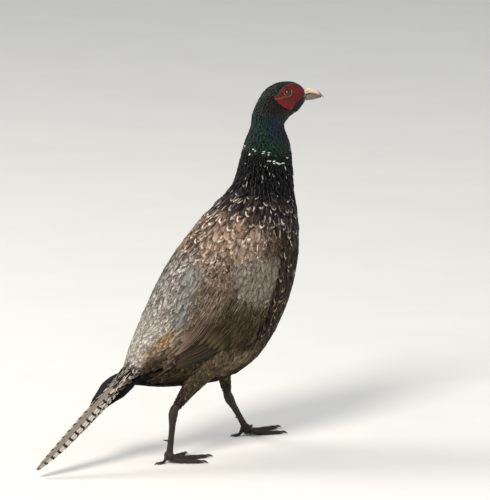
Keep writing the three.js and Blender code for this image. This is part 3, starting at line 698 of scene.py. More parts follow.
@dataclass(frozen=True)
class LongVane:
    """A long feather's pattern: many rows, a rounded tip, a raised shaft, a curved section and a frayed edge."""

    rows: int
    across: int
    thick: float
    shaft: float
    camber: float
    tip: float
    fray: float
    root: float = 0.5

    def make(
        self, line: Array, out: Array, half: Array, roll: float, looks: Looks, patch: tuple, rng: Random,
        bend: Callable[[Array], Array] | None = None,
    ) -> Made:
        """Makes one closed long feather.

        Args:
            line: Its middle line, one point to a row.
            out: The way out of the bird at each row.
            half: Half its width at each row.
            roll: How far its edges are rolled over, in radians.
            looks: Its colours and marks.
            patch: Its root's place on the unwrap of the skin.
            rng: A seeded source of chance.
            bend: How far each point across is raised, from its distance to the middle line.

        Returns:
            The feather.
        """
        across, up = across_and_up(line, out, roll)
        v = np.linspace(-1, 1, self.across)
        ragged = 1 - self.fray * rng.random((len(line), 2)) ** 2 * 2
        where = v * half[:, None] * np.where(v[None] < 0, ragged[:, :1], ragged[:, 1:])
        arch = (1 - v**2)[None] * half[:, None] * self.camber * 2 + (bend(where) if bend else 0)
        ridge = np.exp(-(v**2) / 0.02)[None] * self.shaft * np.linspace(1, 0.3, len(line))[:, None]
        thin = (0.35 + 0.65 * (1 - np.abs(v) ** 3))[None] * self.thick
        spread = line[:, None] + across[:, None] * where[..., None]
        top = spread + up[:, None] * (arch + ridge + thin / 2)[..., None]
        bottom = spread + up[:, None] * (arch - thin / 2)[..., None]
        points, faces = loft(np.concatenate([top, bottom[:, ::-1]], 1))
        local_v = np.concatenate([(v + 1) / 2, (v[::-1] + 1) / 2])
        local = np.stack(np.meshgrid(np.linspace(0, 1, len(line)), local_v, indexing="ij"), -1).reshape(-1, 2)
        local = np.vstack([local, [[0, 0.5], [1, 0.5]]])
        uv = np.asarray(patch) + (local[:, ::-1] - [0.5, 0]) * LONG_PATCH
        colours = {key: np.tile(np.asarray(value, float), (len(points), 1)) for key, value in looks.items()}
        return Made(points, faces, colours, {"Vane": local, "OFBake": uv})

    def width(self, half: float) -> Array:
        """Shapes a feather, narrow at its root and round at its tip.

        Args:
            half: Half its width where it is widest.

        Returns:
            Half the width at each row.
        """
        u = np.linspace(0, 1, self.rows)
        last = np.clip((1 - u) / self.tip, 0, 1)
        round_tip = np.sqrt(np.clip(1 - (1 - last) ** 2, 0.0025, 1))
        return half * (self.root + (1 - self.root) * smooth(0, 0.3, u)) * round_tip


# ---- materials ----


class Tree:
    """A short way of writing a node tree."""

    def __init__(self, tree: NodeTree) -> None:
        """Keeps the node tree that nodes go into."""
        self.tree = tree

    def node(self, kind: str, inputs: dict | None = None, **settings: object) -> bpy.types.Node:
        """Adds a node.

        Args:
            kind: The node's type.
            inputs: A value or an output socket for each input, by name or number.
            settings: The node's own settings.

        Returns:
            The new node.
        """
        made = self.tree.nodes.new(kind)
        for key, value in settings.items():
            setattr(made, key, value)
        for key, value in (inputs or {}).items():
            if isinstance(value, Socket):
                self.tree.links.new(value, made.inputs[key])
            else:
                made.inputs[key].default_value = value
        return made

    def maths(self, operation: str, *values: object) -> Socket:
        """Adds a Math node and gives its output."""
        return self.node("ShaderNodeMath", dict(enumerate(values)), operation=operation).outputs[0]

    def times(self, one: object, two: object) -> Socket:
        """The product of two values."""
        return self.maths("MULTIPLY", one, two)

    def plus(self, one: object, two: object) -> Socket:
        """The sum of two values."""
        return self.maths("ADD", one, two)

    def less(self, one: object, two: object) -> Socket:
        """One value less another."""
        return self.maths("SUBTRACT", one, two)

    def scaled(self, value: object, by: object, start: object) -> Socket:
        """A value times another, from a start."""
        return self.maths("MULTIPLY_ADD", value, by, start)

    def rest(self, value: object) -> Socket:
        """What a value leaves of 1."""
        return self.less(1.0, value)

    def aside(self, across: Socket) -> Socket:
        """How far a place across a vane is from its middle, from 0 to 1."""
        return self.times(self.maths("ABSOLUTE", self.less(across, 0.5)), 2.0)

    def ramp(self, value: Socket, low: float, high: float) -> Socket:
        """An easy ramp from 0 to 1 between two values."""
        inputs = {"Value": value, "From Min": low, "From Max": high}
        return self.node("ShaderNodeMapRange", inputs, interpolation_type="SMOOTHSTEP").outputs["Result"]

    def blend(self, share: object, one: object, two: object, kind: str = "MIX") -> Socket:
        """Mixes two colours."""
        return self.node("ShaderNodeMix", {0: share, 6: one, 7: two}, data_type="RGBA", blend_type=kind).outputs[2]

    def shaded(self, colour: Socket, shade: Socket) -> Socket:
        """A colour times a shade of grey."""
        grey = self.node("ShaderNodeCombineColor", {0: shade, 1: shade, 2: shade}).outputs[0]
        return self.blend(1.0, colour, grey, "MULTIPLY")

    def noise(self, vector: Socket, scale: object, detail: float, roughness: float = 0.5) -> Socket:
        """Even noise over some places."""
        inputs = {"Vector": vector, "Scale": scale, "Detail": detail, "Roughness": roughness}
        return self.node("ShaderNodeTexNoise", inputs).outputs["Fac"]

    def parts(self, vector: Socket) -> Outputs:
        """The three parts of a vector."""
        return self.node("ShaderNodeSeparateXYZ", {0: vector}).outputs

    def place(self) -> Socket:
        """A point's place on the object."""
        return self.node("ShaderNodeTexCoord").outputs["Object"]

    def vane(self) -> Socket:
        """A point's place along and across its own feather."""
        return self.node("ShaderNodeUVMap", uv_map="Vane").outputs[0]

    def painted(self, name: str) -> Socket:
        """A colour that the mesh's own points carry."""
        return self.node("ShaderNodeAttribute", attribute_name=name).outputs["Color"]

    def marks(self) -> Outputs:
        """The strength of each of a feather's marks."""
        return self.node("ShaderNodeSeparateColor", {0: self.painted("marks")}).outputs

    def effect(self, group: NodeTree, **inputs: object) -> Outputs:
        """Places a shared effect with its own values and gives its outputs."""
        return self.node("ShaderNodeGroup", inputs, node_tree=group).outputs

    def surface(self, colour: Socket, roughness: object, bump: tuple | None = None, **plain: float) -> None:
        """Adds the Principled shader and the output.

        Args:
            colour: The base colour.
            roughness: The roughness.
            bump: A height, how strong its relief is and how deep, in metres.
            plain: Constants of further sockets, named with _ for a space.
        """
        inputs = {"Base Color": colour, "Roughness": roughness}
        if bump:
            relief = dict(zip(("Height", "Strength", "Distance"), bump))
            inputs["Normal"] = self.node("ShaderNodeBump", relief).outputs[0]
        inputs |= {key.replace("_", " "): value for key, value in plain.items()}
        shader = self.node("ShaderNodeBsdfPrincipled", inputs)
        self.node("ShaderNodeOutputMaterial", {0: shader.outputs[0]})


class EffectGroup(Tree):
    """A shader node group with a Vector input, named values and named outputs."""

    def __init__(self, name: str, **inputs: float) -> None:
        """Starts the group.

        Args:
            name: The group's name.
            inputs: The starting value of each further input.
        """
        super().__init__(bpy.data.node_groups.new(name, "ShaderNodeTree"))
        new_socket = self.tree.interface.new_socket
        new_socket("Vector", in_out="INPUT", socket_type="NodeSocketVector")
        for key, value in inputs.items():
            new_socket(key, in_out="INPUT", socket_type="NodeSocketFloat").default_value = value
        self.given = self.node("NodeGroupInput").outputs

    def give(self, **outputs: Socket) -> NodeTree:
        """Adds the named outputs.

        Args:
            outputs: What each of them gives.

        Returns:
            The group.
        """
        for key in outputs:
            self.tree.interface.new_socket(key, in_out="OUTPUT", socket_type="NodeSocketFloat")
        self.node("NodeGroupOutput", outputs)
        return self.tree


class Effects:
    """The effects that several finishes share, each built once."""

    def __init__(self) -> None:
        """Builds every group."""
        self.barbs, self.edges, self.mottle, self.scales = self._barbs(), self._edges(), self._mottle(), self._scales()

    def _barbs(self) -> NodeTree:
        """Fine slanting barbs each side of a shaft: a shade and a height.

        Returns:
            The group.
        """
        tree = EffectGroup("FeatherBarbs", Count=40.0, Slant=0.7, Chance=0.0)
        along, across, _ = tree.parts(tree.given["Vector"])
        away = tree.maths("ABSOLUTE", tree.less(across, 0.5))
        run = tree.times(tree.less(along, tree.times(away, tree.given["Slant"])), tree.given["Count"])
        spot = tree.node("ShaderNodeCombineXYZ", {0: run, 1: tree.times(across, 3.0), 2: tree.given["Chance"]})
        noise = tree.noise(spot.outputs[0], 1.0, 3.0, 0.6)
        wave = tree.maths("SINE", tree.times(run, FULL_TURN))
        return tree.give(Shade=noise, Height=tree.scaled(wave, 0.25, noise))

    def _edges(self) -> NodeTree:
        """Where a vane's fringe, its arc inside the edge, its dark centre, its streak and its shaft are.

        Returns:
            The group.
        """
        tree = EffectGroup("FeatherMarks", Wobble=0.5)
        along, across, _ = tree.parts(tree.given["Vector"])
        shake = tree.times(tree.less(tree.given["Wobble"], 0.5), 0.3)
        side = tree.aside(across)
        far = tree.maths("MAXIMUM", tree.maths("DIVIDE", tree.less(along, 0.5), 0.5), 0.0)
        squares = tree.plus(tree.maths("POWER", side, 2.0), tree.maths("POWER", far, 2.0))
        round_ = tree.plus(tree.maths("SQRT", squares), shake)
        late = tree.ramp(along, 0.3, 0.5)
        arc = tree.times(tree.ramp(round_, 0.5, 0.58), tree.rest(tree.ramp(round_, 0.72, 0.82)))
        return tree.give(
            Fringe=tree.times(tree.ramp(round_, 0.72, 0.92), late),
            Arc=tree.times(arc, tree.ramp(along, 0.42, 0.54)),
            Centre=tree.times(tree.rest(tree.ramp(round_, 0.36, 0.48)), late),
            Streak=tree.times(tree.rest(tree.ramp(tree.plus(side, shake), 0.12, 0.34)), late),
            Shaft=tree.rest(tree.ramp(side, 0.02, 0.07)),
        )

    def _mottle(self) -> NodeTree:
        """Uneven patches over a surface, as a mask and as a height.

        Returns:
            The group.
        """
        tree = EffectGroup("Mottle", Scale=300.0, Low=0.35, High=0.65)
        noise = tree.noise(tree.given["Vector"], tree.given["Scale"], 5.0, 0.6)
        ends = {"Value": noise, "From Min": tree.given["Low"], "From Max": tree.given["High"]}
        return tree.give(Mask=tree.node("ShaderNodeMapRange", ends).outputs["Result"], Height=noise)

    def _scales(self) -> NodeTree:
        """Small scales or grains with dark seams between them.

        Returns:
            The group.
        """
        tree = EffectGroup("SmallScales", Scale=700.0)
        inputs = {"Vector": tree.given["Vector"], "Scale": tree.given["Scale"]}
        seam = tree.node("ShaderNodeTexVoronoi", inputs, feature="DISTANCE_TO_EDGE").outputs[0]
        return tree.give(Seam=tree.rest(tree.ramp(seam, 0.02, 0.12)), Height=tree.ramp(seam, 0.0, 0.3))


@dataclass(frozen=True)
class Finish:
    """A finish, named for what it covers."""

    name: str

    def paint(self, tree: Tree, effects: Effects) -> None:
        """Adds the finish's own nodes.

        Args:
            tree: The material's tree.
            effects: The shared effects.
        """
        raise NotImplementedError

    def material(self, effects: Effects) -> Material:
        """Builds the material.

        Args:
            effects: The shared effects.

        Returns:
            The finished material.
        """
        material = bpy.data.materials.new(self.name)
        material.use_nodes = True
        material.node_tree.nodes.clear()
        self.paint(Tree(material.node_tree), effects)
        return material


@dataclass(frozen=True)
class PlumageFinish(Finish):
    """Feathers that carry their own colours and marks."""

    roughness: float = 0.66
    metallic: float = 0.0
    gleam: float = 0.15
    count: float = 16.0
    bump: float = 0.4
    contrast: float = 0.75
    # how much of its colour a vane keeps at its root, under the painted shade where the feathers overlap
    root: float = 0.35
    centre: str = "15100d"

    def paint(self, tree: Tree, effects: Effects) -> None:
        """Adds barbs, marks, a shaft and painted shade at the roots over the feathers' own colours.

        Args:
            tree: The material's tree.
            effects: The shared effects.
        """
        vane, trim, marks = tree.vane(), tree.painted("trim"), tree.marks()
        mottle = tree.effect(effects.mottle, Vector=tree.place(), Scale=420.0)
        barbs = tree.effect(effects.barbs, Vector=vane, Count=self.count, Chance=mottle["Height"])
        edges = tree.effect(effects.edges, Vector=vane, Wobble=barbs["Shade"])
        shade = tree.scaled(tree.less(barbs["Shade"], 0.5), self.contrast * 2, 1.0)
        shade = tree.times(shade, tree.scaled(mottle["Mask"], 0.3, 0.85))
        # painted shade: each vane darkens towards its root, where the feather above overlaps it
        depth = tree.scaled(tree.ramp(tree.parts(vane)[0], 0.05, 0.6), 1 - self.root, self.root)
        colour = tree.shaded(tree.painted("base"), tree.times(shade, depth))
        centre = tree.times(edges["Centre"], tree.times(marks[Mark.ARC], 0.85))
        colour = tree.blend(centre, colour, opaque(self.centre))
        for output, mark in (("Streak", Mark.STREAK), ("Fringe", Mark.FRINGE), ("Arc", Mark.ARC)):
            colour = tree.blend(tree.times(edges[output], marks[mark]), colour, trim)
        colour = tree.blend(tree.times(edges["Shaft"], 0.2), colour, trim)
        roughness = tree.scaled(barbs["Shade"], 0.2, self.roughness - 0.1)
        relief = (barbs["Height"], self.bump, 0.0004)
        tree.surface(colour, roughness, relief, Metallic=self.metallic, Specular_IOR_Level=self.gleam)


@dataclass(frozen=True)
class TailFinish(Finish):
    """Long tail feathers: a brown middle, pale cut edges and short black bars at even distances."""

    bar: str = "1c1614"
    shaft: str = "3a2c24"
    bars: float = 16.0

    def paint(self, tree: Tree, effects: Effects) -> None:
        """Adds bars, pale edges and a shaft over the feathers' own colours.

        Args:
            tree: The material's tree.
            effects: The shared effects.
        """
        vane, marks = tree.vane(), tree.marks()
        barbs = tree.effect(effects.barbs, Vector=vane, Count=240.0, Slant=0.16)
        along, across, _ = tree.parts(vane)
        side, off = tree.aside(across), tree.less(barbs["Shade"], 0.5)
        edge = tree.ramp(tree.plus(side, tree.times(off, 0.4)), 0.6, 0.76)
        run = tree.maths("FRACT", tree.times(tree.less(along, tree.times(side, 0.02)), self.bars))
        bar = tree.rest(tree.ramp(tree.maths("ABSOLUTE", tree.less(run, 0.5)), 0.12, 0.2))
        bar = tree.times(bar, tree.ramp(side, 0.34, 0.6))
        colour = tree.shaded(tree.painted("base"), tree.scaled(off, 0.7, 1.0))
        colour = tree.blend(tree.times(edge, marks[Mark.FRINGE]), colour, tree.painted("trim"))
        colour = tree.blend(tree.times(bar, marks[Mark.ARC]), colour, opaque(self.bar))
        shaft = tree.rest(tree.ramp(side, 0.02, 0.05))
        colour = tree.blend(tree.times(shaft, 0.5), colour, opaque(self.shaft))
        roughness = tree.scaled(barbs["Shade"], 0.2, 0.5)
        tree.surface(colour, roughness, (barbs["Height"], 0.3, 0.0004), Specular_IOR_Level=0.15)


@dataclass(frozen=True)
class SkinFinish(Finish):
    """Bare skin with small grains, in two colours of its own or else in those of its points."""

    seam: str
    colours: tuple = ()
    scale: float = 900.0
    patch: float = 160.0
    roughness: float = 0.5
    bump: float = 0.5
    seams: float = 0.5

    def paint(self, tree: Tree, effects: Effects) -> None:
        """Mixes both colours in patches, with grains and seams.

        Args:
            tree: The material's tree.
            effects: The shared effects.
        """
        place = tree.place()
        scales = tree.effect(effects.scales, Vector=place, Scale=self.scale)
        mottle = tree.effect(effects.mottle, Vector=place, Scale=self.patch)
        colours = map(opaque, self.colours) if self.colours else map(tree.painted, ("base", "trim"))
        colour = tree.blend(mottle["Mask"], *colours)
        colour = tree.blend(tree.times(scales["Seam"], self.seams), colour, opaque(self.seam))
        height = tree.scaled(mottle["Height"], 0.4, scales["Height"])
        roughness = tree.scaled(mottle["Height"], 0.25, self.roughness - 0.12)
        tree.surface(colour, roughness, (height, self.bump, 0.0003), Specular_IOR_Level=0.25)


@dataclass(frozen=True)
class HornFinish(Finish):
    """Horn in its points' own colours, with fine growth lines."""

    roughness: float = 0.38

    def paint(self, tree: Tree, effects: Effects) -> None:
        """Adds clouding and growth lines to the horn's own colours.

        Args:
            tree: The material's tree.
            effects: The shared effects.
        """
        place = tree.place()
        mottle = tree.effect(effects.mottle, Vector=place, Scale=240.0)
        colour = tree.shaded(tree.painted("base"), tree.scaled(mottle["Mask"], 0.25, 0.87))
        stretch = tree.node("ShaderNodeMapping", {"Vector": place, "Scale": (900.0, 900.0, 2600.0)})
        lines = tree.noise(stretch.outputs[0], 1.0, 2.0)
        tree.surface(colour, tree.scaled(lines, 0.2, self.roughness - 0.1), (lines, 0.18, 0.0002))


@dataclass(frozen=True)
class EyeFinish(Finish):
    """A wet eye: a dark pupil in a brown iris with fine rays."""

    def paint(self, tree: Tree, effects: Effects) -> None:
        """Adds rays to the eye's own colours, and its wet front."""
        colour = tree.shaded(tree.painted("base"), tree.scaled(tree.noise(tree.place(), 2500.0, 3.0), 0.6, 0.7))
        tree.surface(colour, 0.06, Coat_Weight=0.3, Coat_Roughness=0.03, Specular_IOR_Level=0.35)


@dataclass(frozen=True)
class FloorFinish(Finish):
    """A plain pale floor."""

    colour: str = "ece9e2"

    def paint(self, tree: Tree, effects: Effects) -> None:
        """Mixes two pale tones."""
        mottle, pale = tree.effect(effects.mottle, Vector=tree.place(), Scale=6.0), opaque(self.colour)
        tree.surface(tree.blend(mottle["Mask"], (*(v * 0.97 for v in pale[:3]), 1), pale), 0.85)


class Finishes:
    """Every finish of the bird, built once."""

    def __init__(self) -> None:
        """Builds the shared effects and the materials."""
        effects = Effects()
        self.skin = SkinFinish("BodySkin", "1c1714").material(effects)
        self.body = PlumageFinish("BodyPlumage").material(effects)
        self.dark = PlumageFinish("DarkPlumage", 0.6, gleam=0.1, contrast=0.4).material(effects)
        self.gloss = PlumageFinish("GlossPlumage", 0.42, 0.35, gleam=0.35, contrast=0.5).material(effects)
        # the wing's vanes keep more of their colour under the painted shade at their roots
        self.wing = PlumageFinish("WingPlumage", 0.6, count=60, contrast=0.6, root=0.75).material(effects)
        self.tail = TailFinish("TailPlumage").material(effects)
        self.wattle = SkinFinish("WattleSkin", "2a0406", (), 900, 220, 0.42, 0.8, 0.55).material(effects)
        self.leg = SkinFinish("LegScales", "14100d", ("2c241c", "40362b"), 800, 120, 0.55, 0.6, 0.6).material(effects)
        self.horn = HornFinish("BillHorn").material(effects)
        self.eye = EyeFinish("EyeWet").material(effects)
        self.floor = FloorFinish("PaleFloor").material(effects)


class Workshop:
    """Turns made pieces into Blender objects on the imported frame."""

    def __init__(self, form: BodyForm) -> None:
        """Mixes the finishes and finds where the design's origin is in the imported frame.

        Args:
            form: The body's shape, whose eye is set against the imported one.
        """
        lo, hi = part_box("eye_right")
        eye = form.over(form.eye[0], angle_of(-1, form.eye[1]), -form.eye_sunk)
        self.shift = Vector((((lo.x + hi.x) / 2) - eye[0] * MM, 0.0, 0.0))
        self.collection = bpy.context.scene.collection
        self.finishes = Finishes()

    def place(self, x: float, y: float, z: float) -> Vector:
        """A design point in millimetres as a world point in metres."""
        return Vector((x, y, z)) * MM + self.shift

    def build(self, name: str, made: Made, material: Material, slot: str) -> bpy.types.Object:
        """Makes one mesh object that rides on the body.

        Args:
            name: The piece's name.
            made: Its points, faces and values.
            material: Its finish.
            slot: The record's material slot, which is not used.

        Returns:
            The new object.
        """
        mesh = bpy.data.meshes.new(name)
        points = made.points * MM + np.array(self.shift)
        faces = made.faces.astype(np.int32)
        mesh.vertices.add(len(points))
        mesh.vertices.foreach_set("co", points.astype(np.float32).ravel())
        mesh.loops.add(faces.size)
        mesh.loops.foreach_set("vertex_index", faces.ravel())
        mesh.polygons.add(len(faces))
        mesh.polygons.foreach_set("loop_start", np.arange(0, faces.size, 3, dtype=np.int32))
        mesh.polygons.foreach_set("use_smooth", np.ones(len(faces), bool))
        mesh.update(calc_edges=True)
        for key, values in made.colours.items():
            layer = mesh.attributes.new(key, "FLOAT_COLOR", "POINT")
            rgba = np.ones((len(points), 4), np.float32)
            rgba[:, : values.shape[1]] = values
            layer.data.foreach_set("color", rgba.ravel())
        for key, values in made.maps.items():
            layer = mesh.uv_layers.new(name=key)
            layer.data.foreach_set("uv", values[faces.ravel()].astype(np.float32).ravel())
        mesh.validate()
        made_object = bpy.data.objects.new(name, mesh)
        self.collection.objects.link(made_object)
        mesh.materials.append(material)
        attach(made_object, "root")
        LOG.info("%s: %d triangles", name, len(faces))
        return made_object

    def plant(
        self, name: str, form: Form, lay: Lay, looks: Looks, slot: str, hair: bool = False,
        material: Material | None = None, split: bool = False,
    ) -> None:
        """Builds a set of small feathers.

        Args:
            name: The set's name.
            form: What the feathers grow on.
            lay: Where and how they lie.
            looks: Their colours and marks.
            slot: The record's material slot.
            hair: Whether they are loose barbs.
            material: Their finish, if it isn't the body's.
            split: Whether they become numbered pieces, each under the limit of triangles.
        """
        vane = HAIR if hair else VANE
        limit = PIECE_LIMIT // len(vane.faces()) if split else len(lay.s)
        for k, start in enumerate(range(0, len(lay.s), limit), 1):
            rows = slice(start, start + limit)
            made = vane.make(form, lay.part(rows), {key: values[rows] for key, values in looks.items()})
            self.build(f"{name}_{k}" if split else name, made, material or self.finishes.body, slot)


# ---- the bird ----


@dataclass
class Thighs:
    """The feathered thighs, as limbs from the flank to above the heel."""

    knees: dict = field(default_factory=lambda: {"right": (-18, 32, 142), "left": (18, 32, 158)})
    thighs: dict = field(default_factory=lambda: {"right": (-46, 31, 112), "left": (34, 31, 106)})
    heels: dict = field(default_factory=lambda: {"right": (-91, 32, 67), "left": (46, 32, 57)})
    radii: tuple = ((21, 27), (18, 23), (13, 15), (8, 9.5), (5.4, 6.2))
    shank_length: float = 7.0
    corners: dict = field(default_factory=lambda: {"right": (0.975, 0.1), "left": (0.94, 0.1)})

    def ankle(self, name: str) -> Array:
        """Where the feathers end over the heel."""
        thigh, heel = self.place(self.thighs, name), self.place(self.heels, name)
        return heel - unit(heel - thigh) * self.shank_length

    def place(self, table: dict, name: str) -> Array:
        """A point of one side's leg."""
        return np.array(table[name], float) * [1, SIDES[name], 1]

    def form(self, name: str, thinner: float = 0.0) -> LimbForm:
        """One thigh, read from its lower end up, so that feathers point down it.

        Args:
            name: left or right.
            thinner: How much is taken off its radii.

        Returns:
            The limb.
        """
        points = [self.ankle(name), self.place(self.thighs, name), self.place(self.knees, name)]
        return LimbForm(points, np.asarray(self.radii[::-1], float) - thinner, corner=self.corners[name])


@dataclass
class BodySkin:
    """The one skin of the body, neck, head and thighs, inside the solids by the coat's depth."""

    shop: Workshop
    form: BodyForm
    thighs: Thighs
    rings: int = 220
    around: int = 120
    # place along the body and how far the skin lies inside the solids there
    depth: tuple = ((0, 1.8), (1.5, 2.2), (7, 2.3), (9, 1.9), (12, 1.3), (13.5, 0.9), (18, 0.5))
    thigh_thinner: float = 1.6
    thigh_rings: int = 40
    thigh_sunk: tuple = (11.0, 0.84)  # how far a thigh's upper end sinks into the flank, and where that starts
    thigh_look: tuple = (2.6, -25.0)  # the place on the body whose colours it takes

    def thigh(self, name: str, rng: Random) -> Made:
        """The skin of one thigh.

        Args:
            name: left or right.
            rng: A seeded source of chance.

        Returns:
            The skin.
        """
        limb = self.thighs.form(name, self.thigh_thinner)
        t, a = grid(np.linspace(0, 1, self.thigh_rings), self.thigh_rings)
        sunk, start = self.thigh_sunk
        points, faces = loft(limb.over(t, a, -sunk * smooth(start, 1, t) ** 2)[::-1])
        colours = plumage(*(np.full(len(points), value) for value in self.thigh_look), rng)
        uv = np.vstack([limb.unwrap(t, a)[::-1].reshape(-1, 2), [limb.corner] * 2])
        return Made(points, faces, colours, {"OFBake": uv})

    def build(self) -> None:
        """Builds the skin."""
        rng = np.random.default_rng(SEED)
        ends = self.form.ends
        s, angle = grid(np.linspace(0, ends, self.rings), self.around)
        lift = -rows_at(self.depth, s)[0] - self.form.bed(s, above_of(angle)) * self.form.bed_depth
        points, faces = loft(self.form.over(s, angle, lift)[::-1])
        flat_s, flat_angle = (np.append(v[::-1].ravel(), last) for v, last in ((s, (ends, 0)), (angle, (0, 0))))
        looks = plumage(flat_s, above_of(flat_angle), rng)
        unwrap = self.form.unwrap(flat_s, np.append(angle[::-1].ravel(), (math.pi, math.pi)))
        parts = [Made(points, faces, looks, {"OFBake": unwrap})] + [self.thigh(name, rng) for name in SIDES]
        piece = self.shop.build("body_skin", Made.joined(parts), self.shop.finishes.skin, "body_plumage")
        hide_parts("torso", "neck_lower", "neck_upper", "head", "thigh_left", "thigh_right")


@dataclass
class Coat:
    """The small feathers of the body, neck and head."""

    shop: Workshop
    form: BodyForm
    face: "Face"
    # place, distance along, distance round, length and width of the vanes
    growth: tuple = (
        (-0.2, 4.6, 3.8, 15, 5.6), (1.5, 4.8, 4.2, 18, 6.4), (3, 5.0, 4.6, 18, 7.0), (5, 6.2, 6.2, 19, 10),
        (6.5, 7.0, 7.4, 19, 12.2), (7.6, 5.8, 6.2, 15, 10.2), (8.5, 4.1, 4.3, 11, 6.8), (9.75, 2.8, 2.7, 7, 4.4),
        (12.4, 2.1, 2.0, 4.8, 3.0), (13.5, 1.7, 1.6, 3.8, 2.4), (16, 1.5, 1.4, 3.2, 2.1), (18, 1.3, 1.3, 2.6, 1.8),
    )
    # place, lift at the root and at the tip
    lifts: tuple = (
        (0, -1.8, 0.1), (7, -1.9, 0.1), (8.5, -1.6, 0.2), (9.7, -1.4, 0.9), (10.3, -1.3, 0.4), (12.4, -1.0, 0.1),
        (14, -0.7, 0.08), (18, -0.5, 0.05),
    )
    # place and share of the loose hair-like barbs
    loose: tuple = ((0, 1.0), (5.2, 1.0), (6.4, 0.55), (7.4, 0.22), (8.2, 0.0))
    # each dash of the broken white collar: place, angle, width and length
    collar: tuple = (
        (9.70, 141, 6.0, 1.5), (9.62, 152, 5.0, 1.6), (9.27, 156, 6.5, 1.7), (9.22, 164, 7.5, 1.9), (9.2, 175, 10, 1.9),
        (9.2, 186, 10, 1.8), (9.44, 201, 5.0, 1.8), (9.75, 222, 6.0, 1.6), (9.7, 66, 6.0, 1.7), (9.85, 80, 5.0, 1.6),
        (9.55, 100, 6.0, 1.7), (9.8, 118, 5.0, 1.6), (9.3, 12, 7.0, 1.7), (9.25, 0, 8.0, 1.7), (9.4, 340, 6.0, 1.6),
        (9.6, 322, 6.0, 1.6), (9.7, 36, 6.0, 1.6),
    )
    hang: float = 12.0  # degrees that feathers on the sides hang down from the body's own line
    bare_bed: float = 0.93  # how deep in a wing's bed the coat stops
    veil_reach: tuple = (1.5, 6.6)
    veil_band: tuple = (-7, 17)  # degrees from the wing's upper edge
    veil_top: float = 86.0

    def lay(self, s: Array, angle: Array, rng: Random, hair: bool) -> Lay:
        """How the feathers rooted at some places lie.

        Args:
            s: Place along the body.
            angle: Angle round it.
            rng: A seeded source of chance.
            hair: Whether they are loose barbs.

        Returns:
            Their lay.
        """
        n = len(s)
        _, _, length, width = rows_at(self.growth, s)
        low, high = rows_at(self.lifts, s)
        above = above_of(angle)
        bed = self.form.bed(s, above) * self.form.bed_depth
        if hair:
            length, width, low, high = length * 0.95, np.clip(width * 0.12, 0.5, 1.0), low * 0.35, high + 0.35
        side = np.where(np.cos(angle) > 0, -1, 1) * np.cos(np.radians(above))
        down = side * np.radians(self.hang) * smooth(1, 4, s) * (1 - smooth(8, 9, s))
        return Lay(
            s, angle, length * rng.uniform(0.8, 1.2, n), width * rng.uniform(0.85, 1.15, n),
            low - bed + rng.normal(0, 0.1, n), high - bed * 0.25 + rng.normal(0, 0.12, n),
            down + rng.normal(0, 0.22 if hair else 0.13, n), *chances(rng, n, 0.14, 0.15),
        )

    def stretch(
        self, name: str, start: float, stop: float, material: Material, slot: str, hair: bool = False
    ) -> None:
        """Lays one stretch of coat.

        Args:
            name: The stretch's name.
            start: Place of its first row.
            stop: Place of its last row.
            material: Its finish.
            slot: The record's material slot.
            hair: Whether it is loose barbs over the vanes.
        """
        rng = np.random.default_rng(SEED + int(start * 100) + len(name))
        spacing = np.asarray(self.growth, float)[:, :3] * ([1, 0.5, 0.42] if hair else [1, 1, 1])
        s, angle = even_places(self.form, start, stop, spacing, rng)
        above = above_of(angle)
        keep = ((self.form.bed(s, above) < self.bare_bed) | (above < wing_edges(s)[0])) & ~self.face.bare(s, angle)
        if hair:
            keep &= rng.random(len(s)) < rows_at(self.loose, s)[0]
        s, angle = s[keep], angle[keep]
        looks = plumage(s, above_of(angle), rng)
        if hair:
            looks = frayed(looks, loose_share(len(s), rng) * looks["marks"].max(1, keepdims=True))
        lay = self.lay(s, angle, rng, hair)
        self.shop.plant(name, self.form, lay, looks, slot, hair, material, split=True)

    def veil(self) -> None:
        """Lays loose feathers over the upper edge of each folded wing, so that it sinks softly into the back."""
        rng = np.random.default_rng(SEED + 30)
        for hair in (False, True):
            spacing = (0.0, 3.2, 2.4) if hair else (0.0, 5.5, 5.0)
            s, angle = even_places(self.form, *self.veil_reach, spacing, rng)
            above, edge = above_of(angle), wing_edges(s)[1]
            low, high = self.veil_band
            keep = (above > edge + low) & (above < edge + high) & (above < self.veil_top)
            s, angle, above, edge = s[keep], angle[keep], above[keep], edge[keep]
            lay = self.lay(s, angle, rng, hair)
            rise = rng.normal(0, 0.12, len(s))
            lay.low, lay.high = rise - 1.2, rise + 0.35
            lay.length = lay.length * (1.15 if hair else 1.0)
            looks = plumage(s, above, rng)
            tint(looks, "4f3f30", "a28e7b", smooth(2, -5, above - edge) * smooth(6.0, 5.2, s))
            if hair:
                looks = frayed(looks, loose_share(len(s), rng) * 0.85)
            title = "veil_hair" if hair else "veil"
            self.shop.plant(title, self.form, lay, looks, "body_plumage", hair, split=True)

    def dashes(self) -> None:
        """Lays the broken white collar."""
        rng = np.random.default_rng(SEED + 31)
        place, turn, wide, long = np.repeat(np.asarray(self.collar, float), 2, axis=0).T
        n = len(place)
        s, angle = place + rng.normal(0, 0.03, n), np.radians(turn + rng.normal(0, 2.0, n))
        lay = Lay(
            s, angle, long * rng.uniform(0.8, 1.2, n), wide * 0.75 * rng.uniform(0.7, 1.1, n),
            np.full(n, 0.5), np.full(n, 0.9), *chances(rng, n, 0.2, 0.1, 0.1),
        )
        white = np.tile(linear("e8e5dd"), (n, 1)) * rng.uniform(0.6, 1.0, (n, 1))
        looks = {"base": white, "trim": white, "marks": np.zeros((n, 3))}
        self.shop.plant("collar_dashes", self.form, lay, looks, "dark_plumage")

